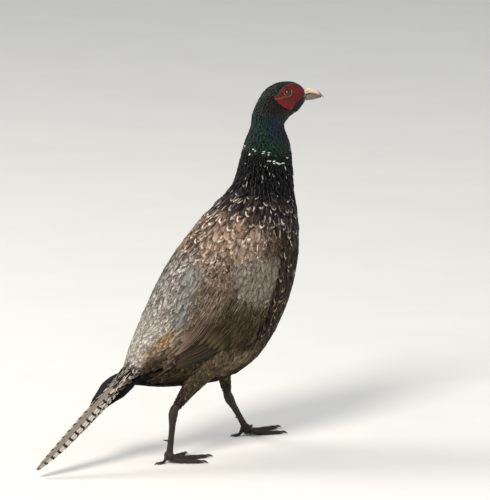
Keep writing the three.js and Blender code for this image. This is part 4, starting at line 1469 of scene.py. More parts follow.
    def build(self) -> None:
        """Lays the whole coat."""
        finishes = self.shop.finishes
        self.stretch("body_coat", -0.1, 8.2, finishes.body, "body_plumage")
        self.stretch("body_hair", -0.1, 8.2, finishes.body, "body_plumage", hair=True)
        self.stretch("collar_coat", 8.2, 9.75, finishes.dark, "dark_plumage")
        self.stretch("neck_coat", 9.75, 12.4, finishes.gloss, "green_plumage")
        self.stretch("head_coat", 12.4, 17.9, finishes.gloss, "green_plumage")
        self.veil()
        self.dashes()


@dataclass
class ThighCoat:
    """The feathers of the thighs."""

    shop: Workshop
    thighs: Thighs
    length: float = 11.0
    widths: tuple = (5.4, 0.9)  # of a vane and of a loose barb
    tip_lifts: tuple = (0.2, 0.5)

    def build(self) -> None:
        """Lays both thighs."""
        for k, name in enumerate(SIDES):
            rng = np.random.default_rng(SEED + 50 + k)
            limb = self.thighs.form(name)
            for hair in (False, True):
                s, angle = even_places(limb, 0.03, 0.98, (0.0, 2.2, 1.8) if hair else (0.0, 3.8, 3.4), rng)
                n = len(s)
                fine = 0.45 + 0.55 * smooth(0, 0.5, s)
                lay = Lay(
                    s, angle, self.length * fine * rng.uniform(0.85, 1.2, n),
                    self.widths[hair] * fine * rng.uniform(0.85, 1.15, n),
                    np.full(n, -1.4), np.full(n, self.tip_lifts[hair]), *chances(rng, n, 0.18, 0.15, 0.12),
                )
                looks = plumage(np.full(n, 2.9), -30.0 - 20 * (1 - s), rng)
                looks = frayed(looks, 0.4) if hair else looks
                title = f"thigh_hair_{name}" if hair else f"thigh_coat_{name}"
                self.shop.plant(title, limb, lay, looks, "body_plumage", hair)


@dataclass(frozen=True)
class Tier:
    """A row of wing feathers from its lowest to its highest: where they are rooted and where they end."""

    count: int
    root: tuple
    tip: tuple
    half: float
    lift: float
    shingle: float
    base: tuple
    trim: str
    marks: tuple


@dataclass
class Wing:
    """A folded wing in tiers of vanes."""

    shop: Workshop
    form: BodyForm
    # primaries, secondaries, greater coverts, median coverts and scapulars
    tiers: tuple[Tier, ...] = (
        Tier(
            7, ((3.2, -9), (3.4, 8)), ((1.2, -11), (1.5, 3)), 4.2, -5.7, 0.5,
            ("1d160c", "231b10"), "a39279", (0.8, 0.0, 0.1),
        ),
        Tier(
            14, ((4.7, -8), (4.9, 38)), ((1.4, -10), (2.0, 20)), 4.0, -3.6, 0.45,
            ("171107", "1f170c"), "5c4f37", (0.3, 0.0, 0.35),
        ),
        Tier(
            14, ((5.0, -3), (5.1, 44)), ((3.1, -11), (2.5, 30)), 3.6, -1.8, 0.35,
            ("241b10", "352818"), "6f6045", (0.3, 0.0, 0.4),
        ),
        Tier(
            14, ((5.6, 0), (5.6, 40)), ((4.5, -8), (4.7, 34)), 3.8, -0.7, 0.35,
            ("4d4537", "4a3c2d"), "8d8371", (0.45, 0.0, 0.5),
        ),
        Tier(
            13, ((5.3, 34), (5.2, 61)), ((1.7, 15), (2.7, 40)), 3.2, -0.4, 0.25,
            ("1e160f", "4b3b2f"), "9a8570", (0.5, 0.0, 0.35),
        ),
    )
    pattern: LongVane = LongVane(rows=26, across=7, thick=0.4, shaft=0.3, camber=0.05, tip=0.2, fray=0.14)
    root_sunk: float = 2.4
    # the front edge of the brown in the coverts, by height above the side
    brown_edge: tuple = ((-5, 4.9), (10, 4.65), (34, 5.15), (42, 5.7))

    def build(self) -> None:
        """Builds both wings."""
        for k, (name, side) in enumerate(SIDES.items()):
            rng = np.random.default_rng(SEED + 80 + k)
            made = Made.joined([vane for tier in self.tiers for vane in self.tier(tier, side, rng)])
            piece = self.shop.build(f"wing_feathers_{name}", made, self.shop.finishes.wing, "wing_plumage")
            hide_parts(f"wing_{name}")
            self.lesser(name, side)

    def tier(self, tier: Tier, side: int, rng: Random) -> list[Made]:
        """Makes one tier of one wing.

        Args:
            tier: The tier.
            side: 1 on the left and -1 on the right.
            rng: A seeded source of chance.

        Returns:
            Its feathers.
        """
        made = []
        u = np.linspace(0, 1, self.pattern.rows)
        for t in np.linspace(0, 1, tier.count):
            root, tip = (mixed(np.array(ends[0]), np.array(ends[1]), t) for ends in (tier.root, tier.tip))
            tip = tip + [rng.normal(0, 0.09), rng.normal(0, 0.8)]
            s = root[0] + (tip[0] - root[0]) * u
            angle = angle_of(side, root[1] + (tip[1] - root[1]) * u**1.2)
            lift = tier.lift - self.root_sunk * (1 - smooth(0, 0.35, u)) + rng.normal(0, 0.08)
            roll = side * math.atan2(tier.shingle, tier.half) + rng.normal(0, 0.04)
            base = mixed(linear(tier.base[0]), linear(tier.base[1]), t) * math.exp(rng.normal(0, 0.25))
            looks = {"base": base, "trim": linear(tier.trim), "marks": tier.marks}
            half = self.pattern.width(tier.half * rng.uniform(0.92, 1.08))
            line, out = self.form.over(s, angle, lift), self.form.outward(s, angle)
            patch = self.form.unwrap(s[:1], angle[:1])[0]
            made.append(self.pattern.make(line, out, half, roll, looks, patch, rng))
        return made

    def lesser(self, name: str, side: int) -> None:
        """Lays the small coverts and their loose barbs over the front of one wing.

        Args:
            name: left or right.
            side: 1 on the left and -1 on the right.
        """
        rng = np.random.default_rng(SEED + 90 + side)
        for hair in (False, True):
            start, spacing = (3.9, (0.0, 2.6, 1.9)) if hair else (4.7, (0.0, 4.2, 3.6))
            s, angle = even_places(self.form, start, 6.75, spacing, rng)
            above = above_of(angle)
            low, high = wing_edges(s)
            keep = (np.cos(angle) * side > 0) & (above > low - 9) & (above < high + 8)
            s, angle, above = s[keep], angle[keep], above[keep]
            n = len(s)
            if hair:
                long, wide = rng.uniform(14, 26, n) * (1 + 0.35 * smooth(5.3, 4.7, s)), rng.uniform(0.7, 1.3, n)
            else:
                long, wide = 14 * rng.uniform(0.85, 1.2, n), 6.8 * rng.uniform(0.85, 1.15, n)
            lay = Lay(
                s, angle, long, wide, rng.normal(0, 0.2, n) - 1.4, rng.normal(0, 0.3, n) + (0.9 if hair else 0.5),
                np.where(np.cos(angle) > 0, -1, 1) * 0.12 + rng.normal(0, 0.16, n), *chances(rng, n, 0.14, 0.15),
            )
            looks = plumage(s, above, rng)
            front = s - rows_at(self.brown_edge, above)[0] - rng.normal(0, 0.08, n)
            grey = smooth(-0.12, 0.12, front) * (1 - smooth(5.8, 6.3, s))
            grey = grey * smooth(-16, -8, above) * (1 - smooth(34, 48, above))
            brown = smooth(0.12, -0.12, front)
            shade = np.exp(rng.normal(0, 0.2, (n, 1)))
            tint(looks, "786f62", "aaa192", grey, shade)
            tint(looks, "32281a", "75664c", brown, shade)
            tint(looks, "665547", "bba690", brown * smooth(14, 34, above), shade)
            if hair:
                looks = frayed(looks, loose_share(n, rng))
            title = f"covert_barbs_{name}" if hair else f"lesser_coverts_{name}"
            self.shop.plant(title, self.form, lay, looks, "wing_plumage", hair)


@dataclass
class Tail:
    """The tail: long middle pairs in a low roof, short outer ones spread beside them, and coverts at its root."""

    shop: Workshop
    root: tuple = (-134.0, 0.0, 127.0)
    droop: float = math.radians(38)
    length: float = 190.0
    roofed: int = 4
    lengths: tuple = (1, 0.93, 0.83, 0.72, 0.52, 0.46, 0.42, 0.38, 0.35)
    halves: tuple = (11.3, 9.5, 9, 8.5, 8, 7.5, 7.5, 7.5, 7.5)
    beside: tuple = (1.4, 3, 4, 5, 8, 12, 16, 20, 23.5)
    tuck: float = 0.78  # how much shorter and closer the outer pairs lie on the right
    top: float = -0.6
    level: float = 0.95
    roof: float = 0.16
    roof_edge: float = 14.0
    upturn: float = 0.3
    start: float = 10.0
    # share of the length, how close the shafts lie and how much they rise
    course: tuple = ((0, 0.6, -3), (0.14, 0.86, 0.4), (0.45, 1, 0), (0.8, 0.88, 0), (1, 0.82, 1.8))
    taper: tuple = ((0, 0.9), (0.45, 1), (0.8, 0.84), (1, 0.6))
    # distance along, half the width and half the height of the coverts' bed, and how far its middle lies down
    mound: tuple = ((72, 7.5, 2.0, -2.2), (48, 11.5, 4.2, -3.5), (20, 15, 8.5, -6.5), (-14, 17, 13, -10))

    def point(self, along: Array, left: Array, up: Array) -> Array:
        """Points given in the tail's own frame, from its root.

        Args:
            along: Millimetres along it.
            left: Millimetres to its left.
            up: Millimetres up from its middle.

        Returns:
            The points.
        """
        cos, sin = math.cos(self.droop), math.sin(self.droop)
        local = np.stack(np.broadcast_arrays(np.asarray(along, float), left, up), -1)
        return np.asarray(self.root) + local @ np.array([[-cos, 0, -sin], [0, 1, 0], [-sin, 0, cos]])

    def height(self, pair: int, beside: Array) -> Array:
        """How high a pair lies in the tail.

        Args:
            pair: The pair, counted from the middle.
            beside: The distance beside the middle.

        Returns:
            Millimetres up.
        """
        if pair < self.roofed:
            return self.top - self.level * pair - self.roof * beside
        edge = self.roof_edge
        return self.top - self.level * (pair + 1) - self.roof * edge + self.upturn * (beside - edge)

    def feather(self, pair: int, side: int, rng: Random) -> Made:
        """One long tail feather.

        Args:
            pair: Its pair, counted from the middle.
            side: 1 on the left and -1 on the right.
            rng: A seeded source of chance.

        Returns:
            The feather.
        """
        central = pair < self.roofed
        pattern = LongVane(72, 9, 0.45, 0.45, 0.0, 0.12 if pair else 0.3, 0.06 if central else 0.02)
        u = np.linspace(0, 1, pattern.rows)
        gather, rise = rows_at(self.course, u)
        tuck = self.tuck if side < 0 and not central else 1.0
        along = self.start + (self.length * self.lengths[pair] * tuck - self.start) * u
        middle = side * self.beside[pair] * tuck * gather
        level = self.height(pair, np.abs(middle))
        crossed = self.level / 2 if side < 0 and central else 0.0
        half = pattern.width(self.halves[pair]) * rows_at(self.taper, u)[0]

        def bend(where: Array) -> Array:
            """How much higher than its shaft the feather lies at some distances from it."""
            return self.height(pair, np.abs(middle[:, None] + where)) - level[:, None]

        out = np.tile(self.point(0, 0, 1) - self.point(0, 0, 0), (pattern.rows, 1))
        looks = {
            "base": linear("80766b" if central else "0a0c0b") * math.exp(rng.normal(0, 0.08)),
            "trim": linear("b5aea2" if central else "171a18"),
            "marks": (0.95, 1.0, 0.0) if central else (0.4, 0.0, 0.0),
        }
        patch = (0.1 + 0.05 * pair, 0.96 if side > 0 else 0.93)
        return pattern.make(self.point(along, middle, rise + level - crossed), out, half, 0.0, looks, patch, rng, bend)

    def build(self) -> None:
        """Builds the tail."""
        rng = np.random.default_rng(SEED + 7)
        parts = [self.feather(pair, side, rng) for pair in range(len(self.lengths)) for side in SIDES.values()]
        piece = self.shop.build("tail_feathers", Made.joined(parts), self.shop.finishes.tail, "tail_plumage")
        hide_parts("tail")
        self.coverts(rng)

    def coverts(self, rng: Random) -> None:
        """Lays the coverts over and under the tail's root.

        Args:
            rng: A seeded source of chance.
        """
        line = [self.point(along, 0.0, down) for along, _, _, down in self.mound]
        radii = [(wide, high) for _, wide, high, _ in self.mound]
        limb = LimbForm(line, radii, corner=(0.6, 0.93), reach=(0.01, 0.05))
        for hair in (False, True):
            s, angle = even_places(limb, 0.12, 1.0, (0.0, 2.6, 1.8) if hair else (0.0, 4.8, 4.2), rng)
            keep = ((np.sin(angle) > -0.1) | (s > 0.52)) & (rng.random(len(s)) < (0.5 if hair else 1.0))
            s, angle = s[keep], angle[keep]
            n = len(s)
            lay = Lay(
                s, angle, (15 + 7 * s) * rng.uniform(0.85, 1.15, n), (1.1 if hair else 7.5) * (0.6 + 0.4 * s),
                np.full(n, -1.2), np.full(n, 0.5 if hair else 0.2), *chances(rng, n, 0.14, 0.16, 0.12),
            )
            lower = 1 - smooth(0.15, -0.25, np.sin(angle))
            dark = (rng.random((n, 1)) < rows_at(((0.1, 0.4), (0.3, 0.8)), s)[0][:, None]) * 1.0
            base = mixed(mixed(linear("6d6154"), linear("17120f"), dark), linear("120f0c"), lower)
            base = base * np.exp(rng.normal(0, 0.2, (n, 1)))
            trim = mixed(linear("cfc5b4"), linear("2c241b"), lower)
            fringed = np.where(rng.random((n, 1)) < np.where(dark > 0, 0.45, 0.9), rng.uniform(0.6, 1, (n, 1)), 0)
            marks = np.hstack([fringed, np.zeros((n, 1)), rng.uniform(0, 0.6, (n, 1)) * (1 - dark)])
            looks = {"base": base, "trim": trim, "marks": marks}
            if hair:
                looks = frayed(looks, loose_share(n, rng))
            title = "tail_covert_barbs" if hair else "tail_coverts"
            self.shop.plant(title, limb, lay, looks, "tail_plumage", hair)


@dataclass
class Face:
    """The red skin of the face, the lids and the eyes."""

    shop: Workshop
    form: BodyForm
    eye_radius: float = 6.0
    eye_squash: float = 0.93
    outline: tuple = (
        (15.5, 57), (15.85, 64), (16.55, 68), (17.4, 66), (17.85, 50), (17.6, 13), (16.55, -17),
        (14.95, -27), (13.8, -37), (13.5, -21), (13.65, 5), (13.9, 31), (14.4, 32), (14.9, 42),
    )
    upright: float = 0.05  # places along the body to a degree above the side, for an even outline
    around: int = 150
    across: int = 46
    # each ring of the lids: distance from the eye's middle and height over the head
    lids: tuple = ((4.1, 0.5), (4.3, 1.3), (4.7, 2.0), (5.2, 2.25), (5.6, 1.9), (6.0, 1.3), (6.5, 1.1))
    under: float = -0.9
    fine: int = 24
    nudges: tuple = (0.02, 0.5)  # small steps along the body and up, to read a slope by
    rounds: int = 6
    bill_bed: tuple = (17.3, -70, 72)  # where the bill stands: from which place, and between which degrees

    def rim(self, count: int) -> Array:
        """The wattle's outline.

        Args:
            count: How many points it gets.

        Returns:
            Even points of place and height above the side.
        """
        knots = np.asarray(self.outline, float) * [1, self.upright]
        index = np.arange(len(knots) * self.fine + 1)
        fine = even_spline(np.vstack([knots[-1:], knots, knots[:2]]), 1 + index / self.fine)
        share = np.linspace(0, index[-1], count, endpoint=False)
        return np.stack([np.interp(share, index, column) for column in fine.T], -1) / [1, self.upright]

    def bare(self, s: Array, angle: Array) -> Array:
        """Whether roots would lie on the bare face.

        Args:
            s: Place along the body.
            angle: Angle round it.

        Returns:
            Yes or no for each root.
        """
        above = above_of(angle)
        rim = self.rim(80)
        inside = np.zeros(len(s), bool)
        for (x0, y0), (x1, y1) in zip(rim, np.roll(rim, -1, 0)):
            crosses = (y0 > above) != (y1 > above)
            inside ^= crosses & (s < (x1 - x0) * (above - y0) / (y1 - y0 + 1e-12) + x0)
        front, low, high = self.bill_bed
        return inside | ((s > front) & (above > low) & (above < high))

    def straight(self, points: Array) -> Array:
        """Points as forward and up in the head's own frame."""
        off = points - self.form.in_head(0.0, 0.0, 0.0)
        return np.stack([off @ [math.cos(self.form.yaw), math.sin(self.form.yaw), 0], off[..., 2]], -1)

    def seen(self, side: int, s: Array, above: Array) -> Array:
        """Places on the head's skin as forward and up."""
        return self.straight(self.form.skin(s, angle_of(side, above)))

    def slide(self, side: int, offsets: Array) -> Array:
        """The places on the skin that lie given distances forward and up from the eye.

        Args:
            side: 1 on the left and -1 on the right.
            offsets: How far forward and up.

        Returns:
            Place along the body and height above the side of each.
        """
        places = np.tile(np.array(self.form.eye), (len(offsets), 1))
        target = self.seen(side, *self.form.eye) + offsets
        along, up = self.nudges
        for _ in range(self.rounds):
            s, above = places.T
            now = self.seen(side, s, above)
            ds = (self.seen(side, s + along, above) - now) / along
            da = (self.seen(side, s, above + up) - now) / up
            off = target - now
            det = ds[:, 0] * da[:, 1] - ds[:, 1] * da[:, 0]
            step_s = np.clip((off[:, 0] * da[:, 1] - off[:, 1] * da[:, 0]) / det, -0.5, 0.5)
            step_above = np.clip((ds[:, 0] * off[:, 1] - ds[:, 1] * off[:, 0]) / det, -12, 12)
            places = places + np.stack([step_s, step_above], -1)
        return places

    def relief(self, x: Array, z: Array) -> Array:
        """The bulbs, grains, lappet and fold of the bare skin.

        Args:
            x: Millimetres forward.
            z: Millimetres up.

        Returns:
            How far the skin stands out.
        """
        bulbs = 0.3 * np.sin(x * 1.25 + z * 0.4) * np.sin(z * 1.25)
        grains = 0.16 * np.sin(x * 4.1 + 1.3 * np.sin(z * 2.2)) * np.sin(z * 4.4 + 1.2 * np.sin(x * 1.9))
        lobe = 1.7 * np.exp(-((x - 2) ** 2 + (z + 13) ** 2) / 45)
        return 1.1 + bulbs + grains + lobe - 0.6 * self.fold(x, z, 1.2) * (x < 2)

    def fold(self, x: Array, z: Array, soft: float) -> Array:
        """How near places are to the fold that runs back from the bill."""
        return np.exp(-((z + 3.5 - 0.25 * (x + 8)) ** 2) / soft)

    def wattle(self, side: int) -> Made:
        """The red skin of one side, from the lids to its rim, as one closed sheet.

        Args:
            side: 1 on the left and -1 on the right.

        Returns:
            The skin.
        """
        rim = self.rim(self.around)
        eye = self.seen(side, *self.form.eye)
        way = unit(self.seen(side, *rim.T) - eye)
        columns = [self.slide(side, way * [radius, radius * self.eye_squash]) for radius, _ in self.lids]
        heights = [np.full(self.around, lift) for _, lift in self.lids]
        lid_edge = columns[-1]
        for share in np.arange(1, self.across + 1) / self.across:
            place = lid_edge * (1 - share) + rim * share
            columns.append(place)
            heights.append(0.35 + (1 - share**4) * self.relief(*self.seen(side, *place.T).T))
        places, lift = np.stack(columns, 1), np.stack(heights, 1)
        angle = angle_of(side, places[..., 1])
        top, bottom = (self.form.over(places[..., 0], angle, high) for high in (lift, np.full(lift.shape, self.under)))
        rings = np.concatenate([top, bottom[:, ::-1]], 1)
        rings = np.concatenate([rings, rings[:1]], 0)[::side]
        points, faces = loft(rings, closed=False)
        x, z = self.straight(points).T
        ring = np.hypot(x - eye[0], (z - eye[1]) / self.eye_squash)
        looks = {key: np.tile(linear(code), (len(points), 1)) for key, code in (("base", "4d0608"), ("trim", "741012"))}
        tint(looks, "650b0c", "871717", smooth(-6, -15, z))
        tint(looks, "75483a", "93674f", (1 - smooth(5.1, 5.7, ring)) * smooth(4.1, 4.5, ring))
        streak = np.exp(-((z - eye[1] + 9.0 + 0.15 * x) ** 2) / 1.6) * smooth(-12, -6, x) * (1 - smooth(8, 14, x))
        tint(looks, "2c1512", "2c1512", streak * 0.8)
        tint(looks, "7a4a28", "7a4a28", self.fold(x, z, 0.9) * smooth(2, -2, x) * 0.8)
        # painted shade: the skin darkens at its outer rim, where it meets the feathers, and over its hidden underside
        out = np.concatenate([np.linspace(0, 1, lift.shape[1]), np.ones(lift.shape[1])])
        looks["base"] = looks["base"] * (1 - 0.6 * smooth(0.96, 1.0, np.tile(out, len(rings))))[:, None]
        uv = np.stack([x, z], -1) * 0.004 + ([0.3, 0.5] if side > 0 else [0.7, 0.5])
        return Made(points, faces, looks, {"OFBake": uv})

    def eyeball(self, side: int) -> Made:
        """One eye with its pupil, iris and clear front.

        Args:
            side: 1 on the left and -1 on the right.

        Returns:
            The eyeball.
        """
        place = self.form.eye[0], angle_of(side, self.form.eye[1])
        centre, out = self.form.over(*place, -self.form.eye_sunk), self.form.outward(*place)
        aside = unit(np.cross([0, 0, 1.0], out))
        polar, turn = grid(np.linspace(0.0, math.pi, 48), 64)
        radius = self.eye_radius + 0.35 * np.exp(-((polar / 0.5) ** 2))
        wheel = aside * np.cos(turn)[..., None] + np.cross(out, aside) * np.sin(turn)[..., None]
        points, faces = loft(
            centre + radius[..., None] * (out * np.cos(polar)[..., None] + wheel * np.sin(polar)[..., None])
        )
        far = np.append(polar.ravel(), [0, math.pi])
        base = mixed(linear("050404"), linear("45200c"), smooth(0.27, 0.31, far))
        base = mixed(base, linear("1a100c"), smooth(0.62, 0.72, far))
        uv = np.stack([np.append(turn.ravel(), [0, 0]) / 7, far / 4], -1)
        return Made(points, faces, {"base": base}, {"OFBake": uv})

    def build(self) -> None:
        """Builds both sides of the face."""
        for name, side in SIDES.items():
            wattle = self.shop.build(f"face_skin_{name}", self.wattle(side), self.shop.finishes.wattle, "face_skin")
            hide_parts(f"wattle_{name}")
            eye = self.shop.build(f"eyeball_{name}", self.eyeball(side), self.shop.finishes.eye, "eye")
            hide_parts(f"eye_{name}")


@dataclass
class Bill:
    """The two halves of the bill, and the gape at their corner."""

    shop: Workshop
    form: BodyForm
    root: float = 23.3
    root_slant: float = 0.097
    root_top: float = 4.5
    root_sunk: float = 2.5
    upper_end: float = 48.4
    lower_end: float = 45.0
    # at even places from the root to the upper end
    culmen: tuple = (4.3, 5.2, 5.2, 4.6, 3.3, 1.2, -2.4, -7.6)
    edge: tuple = (-3.6, -1.6, -1.2, -1.7, -2.6, -3.8, -5.4, -8.2)
    keel: tuple = (-10.6, -10.7, -10.4, -9.9, -9.1, -8.2, -7.3, -6.4)
    half: tuple = (5.8, 5.6, 5.2, 4.6, 3.8, 2.8, 1.7, 0.5)
    nostril: tuple = (27.2, 1.6)
    # the gape's start and end forward and up, and how far its middle lies aside
    gape_from: tuple = (17.2, -7.5)
    gape_to: tuple = (24.6, -2.9)
    gape_aside: tuple = ((17.2, 10.4), (20, 8.3), (24.6, 5.6))

    def along(self, x: Array) -> Array:
        """The share of the way from the root to the upper end."""
        return np.clip((x - self.root) / (self.upper_end - self.root), 0, 1)

    def read(self, table: tuple, x: Array) -> Array:
        """Reads a row of values along the bill."""
        return even_spline(np.asarray(table, float)[:, None], self.along(x) * (len(table) - 1))[..., 0]

    def spot(self, x: Array, z: Array, at: tuple, size: tuple, sharp: float = 1.0) -> Array:
        """How near places forward and up are to the middle of an oval spot."""
        return np.exp(-(((x - at[0]) / size[0]) ** 2 + ((z - at[1]) / size[1]) ** 2) * sharp)

    def part(self, upper: bool) -> Made:
        """One half of the bill.

        Args:
            upper: Whether it is the upper half.

        Returns:
            The half, with its own colours.
        """
        end = self.upper_end if upper else self.lower_end
        start = self.root - self.root_sunk
        x = start + (end - start) * np.linspace(0, 1, 70) ** 0.9
        _, a = grid(x, 48)
        top = bottom = edge = self.read(self.edge, x)
        if upper:
            top = self.read(self.culmen, x)
        else:
            top, bottom = edge - 0.3, np.minimum(self.read(self.keel, x), edge - 0.9)
        half = self.read(self.half, x) * (1 if upper else 0.9) * np.sqrt(np.clip((end - x) / 2.2, 0.02, 1))
        rise = np.sign(np.sin(a)) * np.abs(np.sin(a)) ** 0.8
        z = ((top + bottom) / 2)[:, None] + ((top - bottom) / 2)[:, None] * rise
        y = half[:, None] * np.cos(a)
        forward = x[:, None] + 0.3 + self.root_slant * (self.root_top - z) * (1 - self.along(x)[:, None])
        nx, nz = self.nostril
        if upper:
            near = self.spot(forward, z, (nx, nz), (2.2, 0.9), 1.4)
            y = y * (1 - 0.3 * near + 0.1 * self.spot(forward, z, (nx, nz + 1.5), (2.6, 0.9), 1.4))
        points, faces = loft(self.form.in_head(forward, y, z))
        fx = np.append(forward.ravel(), [x[0], x[-1]])
        fz = np.append(z.ravel(), [z[0].mean(), z[-1].mean()])
        fy = np.append(y.ravel(), [0, 0])
        # the lower half is darker: partly its own colour, partly painted shade beneath the upper half
        base = np.tile(linear("dcc6ae" if upper else "6a6056"), (len(points), 1))
        if upper:
            # painted shade: the nostril's opening is a dark spot over a shallow dent
            hole = self.spot(fx, fz, (nx, nz), (2.0, 0.8), 1.8) * (np.abs(fy) > 2)
            for code, share in (
                ("4f463d", smooth(38, 47, fx)),
                ("8d7a70", (1 - smooth(24.5, 27.5, fx)) * 0.5),
                ("2b1d18", hole),
                ("d8c8a8", self.spot(fx, fz, (25.6, 3.3), (1.5, 1.0)) * 0.85),
            ):
                base = mixed(base, linear(code), share)
        else:
            base = mixed(base, linear("4a443c"), smooth(40, 45, fx))
        return Made(points, faces, {"base": base}, {"OFBake": np.stack([fx * 0.01, fz * 0.01 + 0.5], -1)})

    def gape(self, side: int) -> Made:
        """The pale fold of skin from the mouth's corner to the bill.

        Args:
            side: 1 on the left and -1 on the right.

        Returns:
            The fold.
        """
        u, a = grid(np.linspace(0, 1, 24), 14)
        x, z = (low + (high - low) * u for low, high in zip(self.gape_from, self.gape_to))
        wide = 0.75 * np.sqrt(np.clip(np.minimum(u, 1 - u) * 7, 0.03, 1))
        y = side * (rows_at(self.gape_aside, x)[0] - 0.35 + wide * np.cos(a))
        points, faces = loft(self.form.in_head(x, y, z + wide * 0.75 * np.sin(a))[::side])
        base = np.tile(linear("b99c84"), (len(points), 1))
        return Made(points, faces, {"base": base}, {"OFBake": np.full((len(points), 2), 0.01)})

    def build(self) -> None:
        """Builds the bill."""
        horn = self.shop.finishes.horn
        upper = self.shop.build("bill_top", self.part(True), horn, "bill")
        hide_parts("bill_upper")
        lower = self.shop.build("bill_under", self.part(False), horn, "bill")
        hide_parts("bill_lower")
        for name, side in SIDES.items():
            self.shop.build(f"gape_{name}", self.gape(side), horn, "face_skin")


@dataclass(frozen=True)
class Toe:
    """A toe's turn, start, length, radii, height at its root, claw length and how many knuckles it has."""

    turn: float
    start: tuple
    length: float
    radii: tuple
    high: float
    claw: float
    knuckles: int = 3


@dataclass
class Legs:
    """The scaled shanks, toes and claws."""

    shop: Workshop
    thighs: Thighs
    hubs: dict = field(default_factory=lambda: {"right": (-99, 32, 9), "left": (76, 32, 9)})
    toe_out: dict = field(default_factory=lambda: {"right": 8, "left": 6})
    shank: tuple = ((4.6, 5.2), (5.3, 6.4), (3.7, 4.4), (3.3, 3.9), (3.5, 4.1), (4.6, 4.6))
    hub_size: tuple = (6.0, 8.2, 6.4)
    spur: tuple = (0.68, 8.0, 2.1)
    sole: float = 0.55
    toes: dict = field(default_factory=lambda: {
        "hallux": Toe(172, (-4.5, 2), 13, (2.6, 2, 2), 9, 7, 1),
        "inner": Toe(30, (1.5, 6.2), 36, (3.4, 3.1, 2.6), 6, 9.5),
        "middle": Toe(0, (3.5, 0), 50, (3.6, 3.4, 2.7), 6, 11),
        "outer": Toe(-30, (1.5, -6.2), 41, (3.4, 3.1, 2.6), 6, 9.5),
    })

    def plates(self, t: Array, angle: Array, count: float, front: float) -> Array:
        """How far the plates of a scaled limb stand out.

        Args:
            t: Share of its length.
            angle: Angle round it.
            count: How many plates it has.
            front: Which way they face.

        Returns:
            Millimetres for each place.
        """
        step = (t * count) % 1.0
        lap = 0.32 * (1 - step) ** 0.7 * smooth(0, 0.12, step)
        facing = smooth(0.1, 0.5, np.cos(angle - front))
        side = 0.1 * np.sin(t * count * FULL_TURN * 1.6 + 2 * np.sin(angle * 5)) * np.sin(angle * 9)
        return lap * facing + side * (1 - facing)

    def limb(self, form: LimbForm, rings: int, around: int, count: float, front: float) -> Made:
        """A scaled limb.

        Args:
            form: Its shape.
            rings: How many rings it has.
            around: How many points round it.
            count: How many plates.
            front: Which way the plates face, as an angle round it.

        Returns:
            The limb.
        """
        t, a = grid(np.linspace(0, 1, rings), around)
        return self.floored(form.over(t, a, self.plates(t, a, count, front)), 0.0)

    def floored(self, rings: Array, floor: float, colours: Looks | None = None) -> Made:
        """Closes rings into a piece with nothing below a level.

        Args:
            rings: The rings.
            floor: The level.
            colours: The piece's own colours.

        Returns:
            The piece.
        """
        points, faces = loft(rings)
        points[:, 2] = np.maximum(points[:, 2], floor)
        return Made(points, faces, colours or {})

    def build(self) -> None:
        """Builds both legs."""
        leg_skin, horn = self.shop.finishes.leg, self.shop.finishes.horn
        for name, side in SIDES.items():
            ankle, heel = self.thighs.ankle(name), self.thighs.place(self.thighs.heels, name)
            hub = self.thighs.place(self.hubs, name)
            shank = LimbForm([ankle, heel, (heel + hub) / 2, hub], self.shank)
            heading = side * math.radians(self.toe_out[name])
            parts = [self.limb(shank, 150, 40, 22, math.pi / 2), self.ball(hub, heading)]
            nails = {}
            for toe_name, toe in self.toes.items():
                part, nails[toe_name] = self.toe(toe, hub, heading, side)
                parts.append(part)
            leg = self.shop.build(f"leg_{name}", Made.joined(parts), leg_skin, "leg_skin")
            names = [f"shank_{name}"] + [f"toe_{name}_{toe_name}" for toe_name in self.toes]
            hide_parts(*names)
            for toe_name, nail in nails.items():
                piece = self.shop.build(f"nail_{name}_{toe_name}", nail, horn, "claw")
                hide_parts(f"claw_{name}_{toe_name}")
            share, length, radius = self.spur
            root = heel + (hub - heel) * share
            tip = root + [-length - 3, -side * 2.5, 2.5]
            self.shop.build(f"spur_{name}", self.claw([root, (root + tip) / 2, tip], radius * 0.9), horn, "claw")

    def toe(self, toe: Toe, hub: Array, heading: float, side: int) -> tuple[Made, Made]:
        """A toe and its claw.

        Args:
            toe: The toe.
            hub: The foot's middle.
            heading: The way the foot points.
            side: 1 on the left and -1 on the right.

        Returns:
            The scaled toe and the claw.
        """
        angle = heading + side * math.radians(toe.turn)
        cos, sin = math.cos(heading), math.sin(heading)
        ahead, aside = toe.start[0], side * toe.start[1]
        root = np.array([hub[0] + ahead * cos - aside * sin, hub[1] + ahead * sin + aside * cos, 0.0])
        way = np.array([math.cos(angle), math.sin(angle), 0])
        low = [radius - self.sole for radius in toe.radii]
        heights = (toe.high, toe.high + (low[0] - toe.high) * 0.8, low[1], low[2])
        line = np.array([root + way * toe.length * share + [0, 0, z] for share, z in zip((0, 0.28, 0.6, 1), heights)])
        share = np.linspace(0, 1, 9)
        radii = np.interp(share * 2, [0, 1, 2], toe.radii) * (1 + 0.09 * np.cos(share * toe.knuckles * FULL_TURN))
        radii = np.repeat(np.append(radii, radii[-1] * 0.72)[:, None], 2, 1)
        form = LimbForm(line, radii, (0, 0, 1))
        made = self.limb(form, int(toe.length * 2.2), 26, toe.length / 2.7, -math.pi / 2)
        tip = line[-1]
        nail = [tip - way * 0.8, tip + way * toe.claw * 0.5 + [0, 0, 0.6], tip + way * toe.claw + [0, 0, 0.7 - low[2]]]
        return made, self.claw(nail, toe.radii[2])

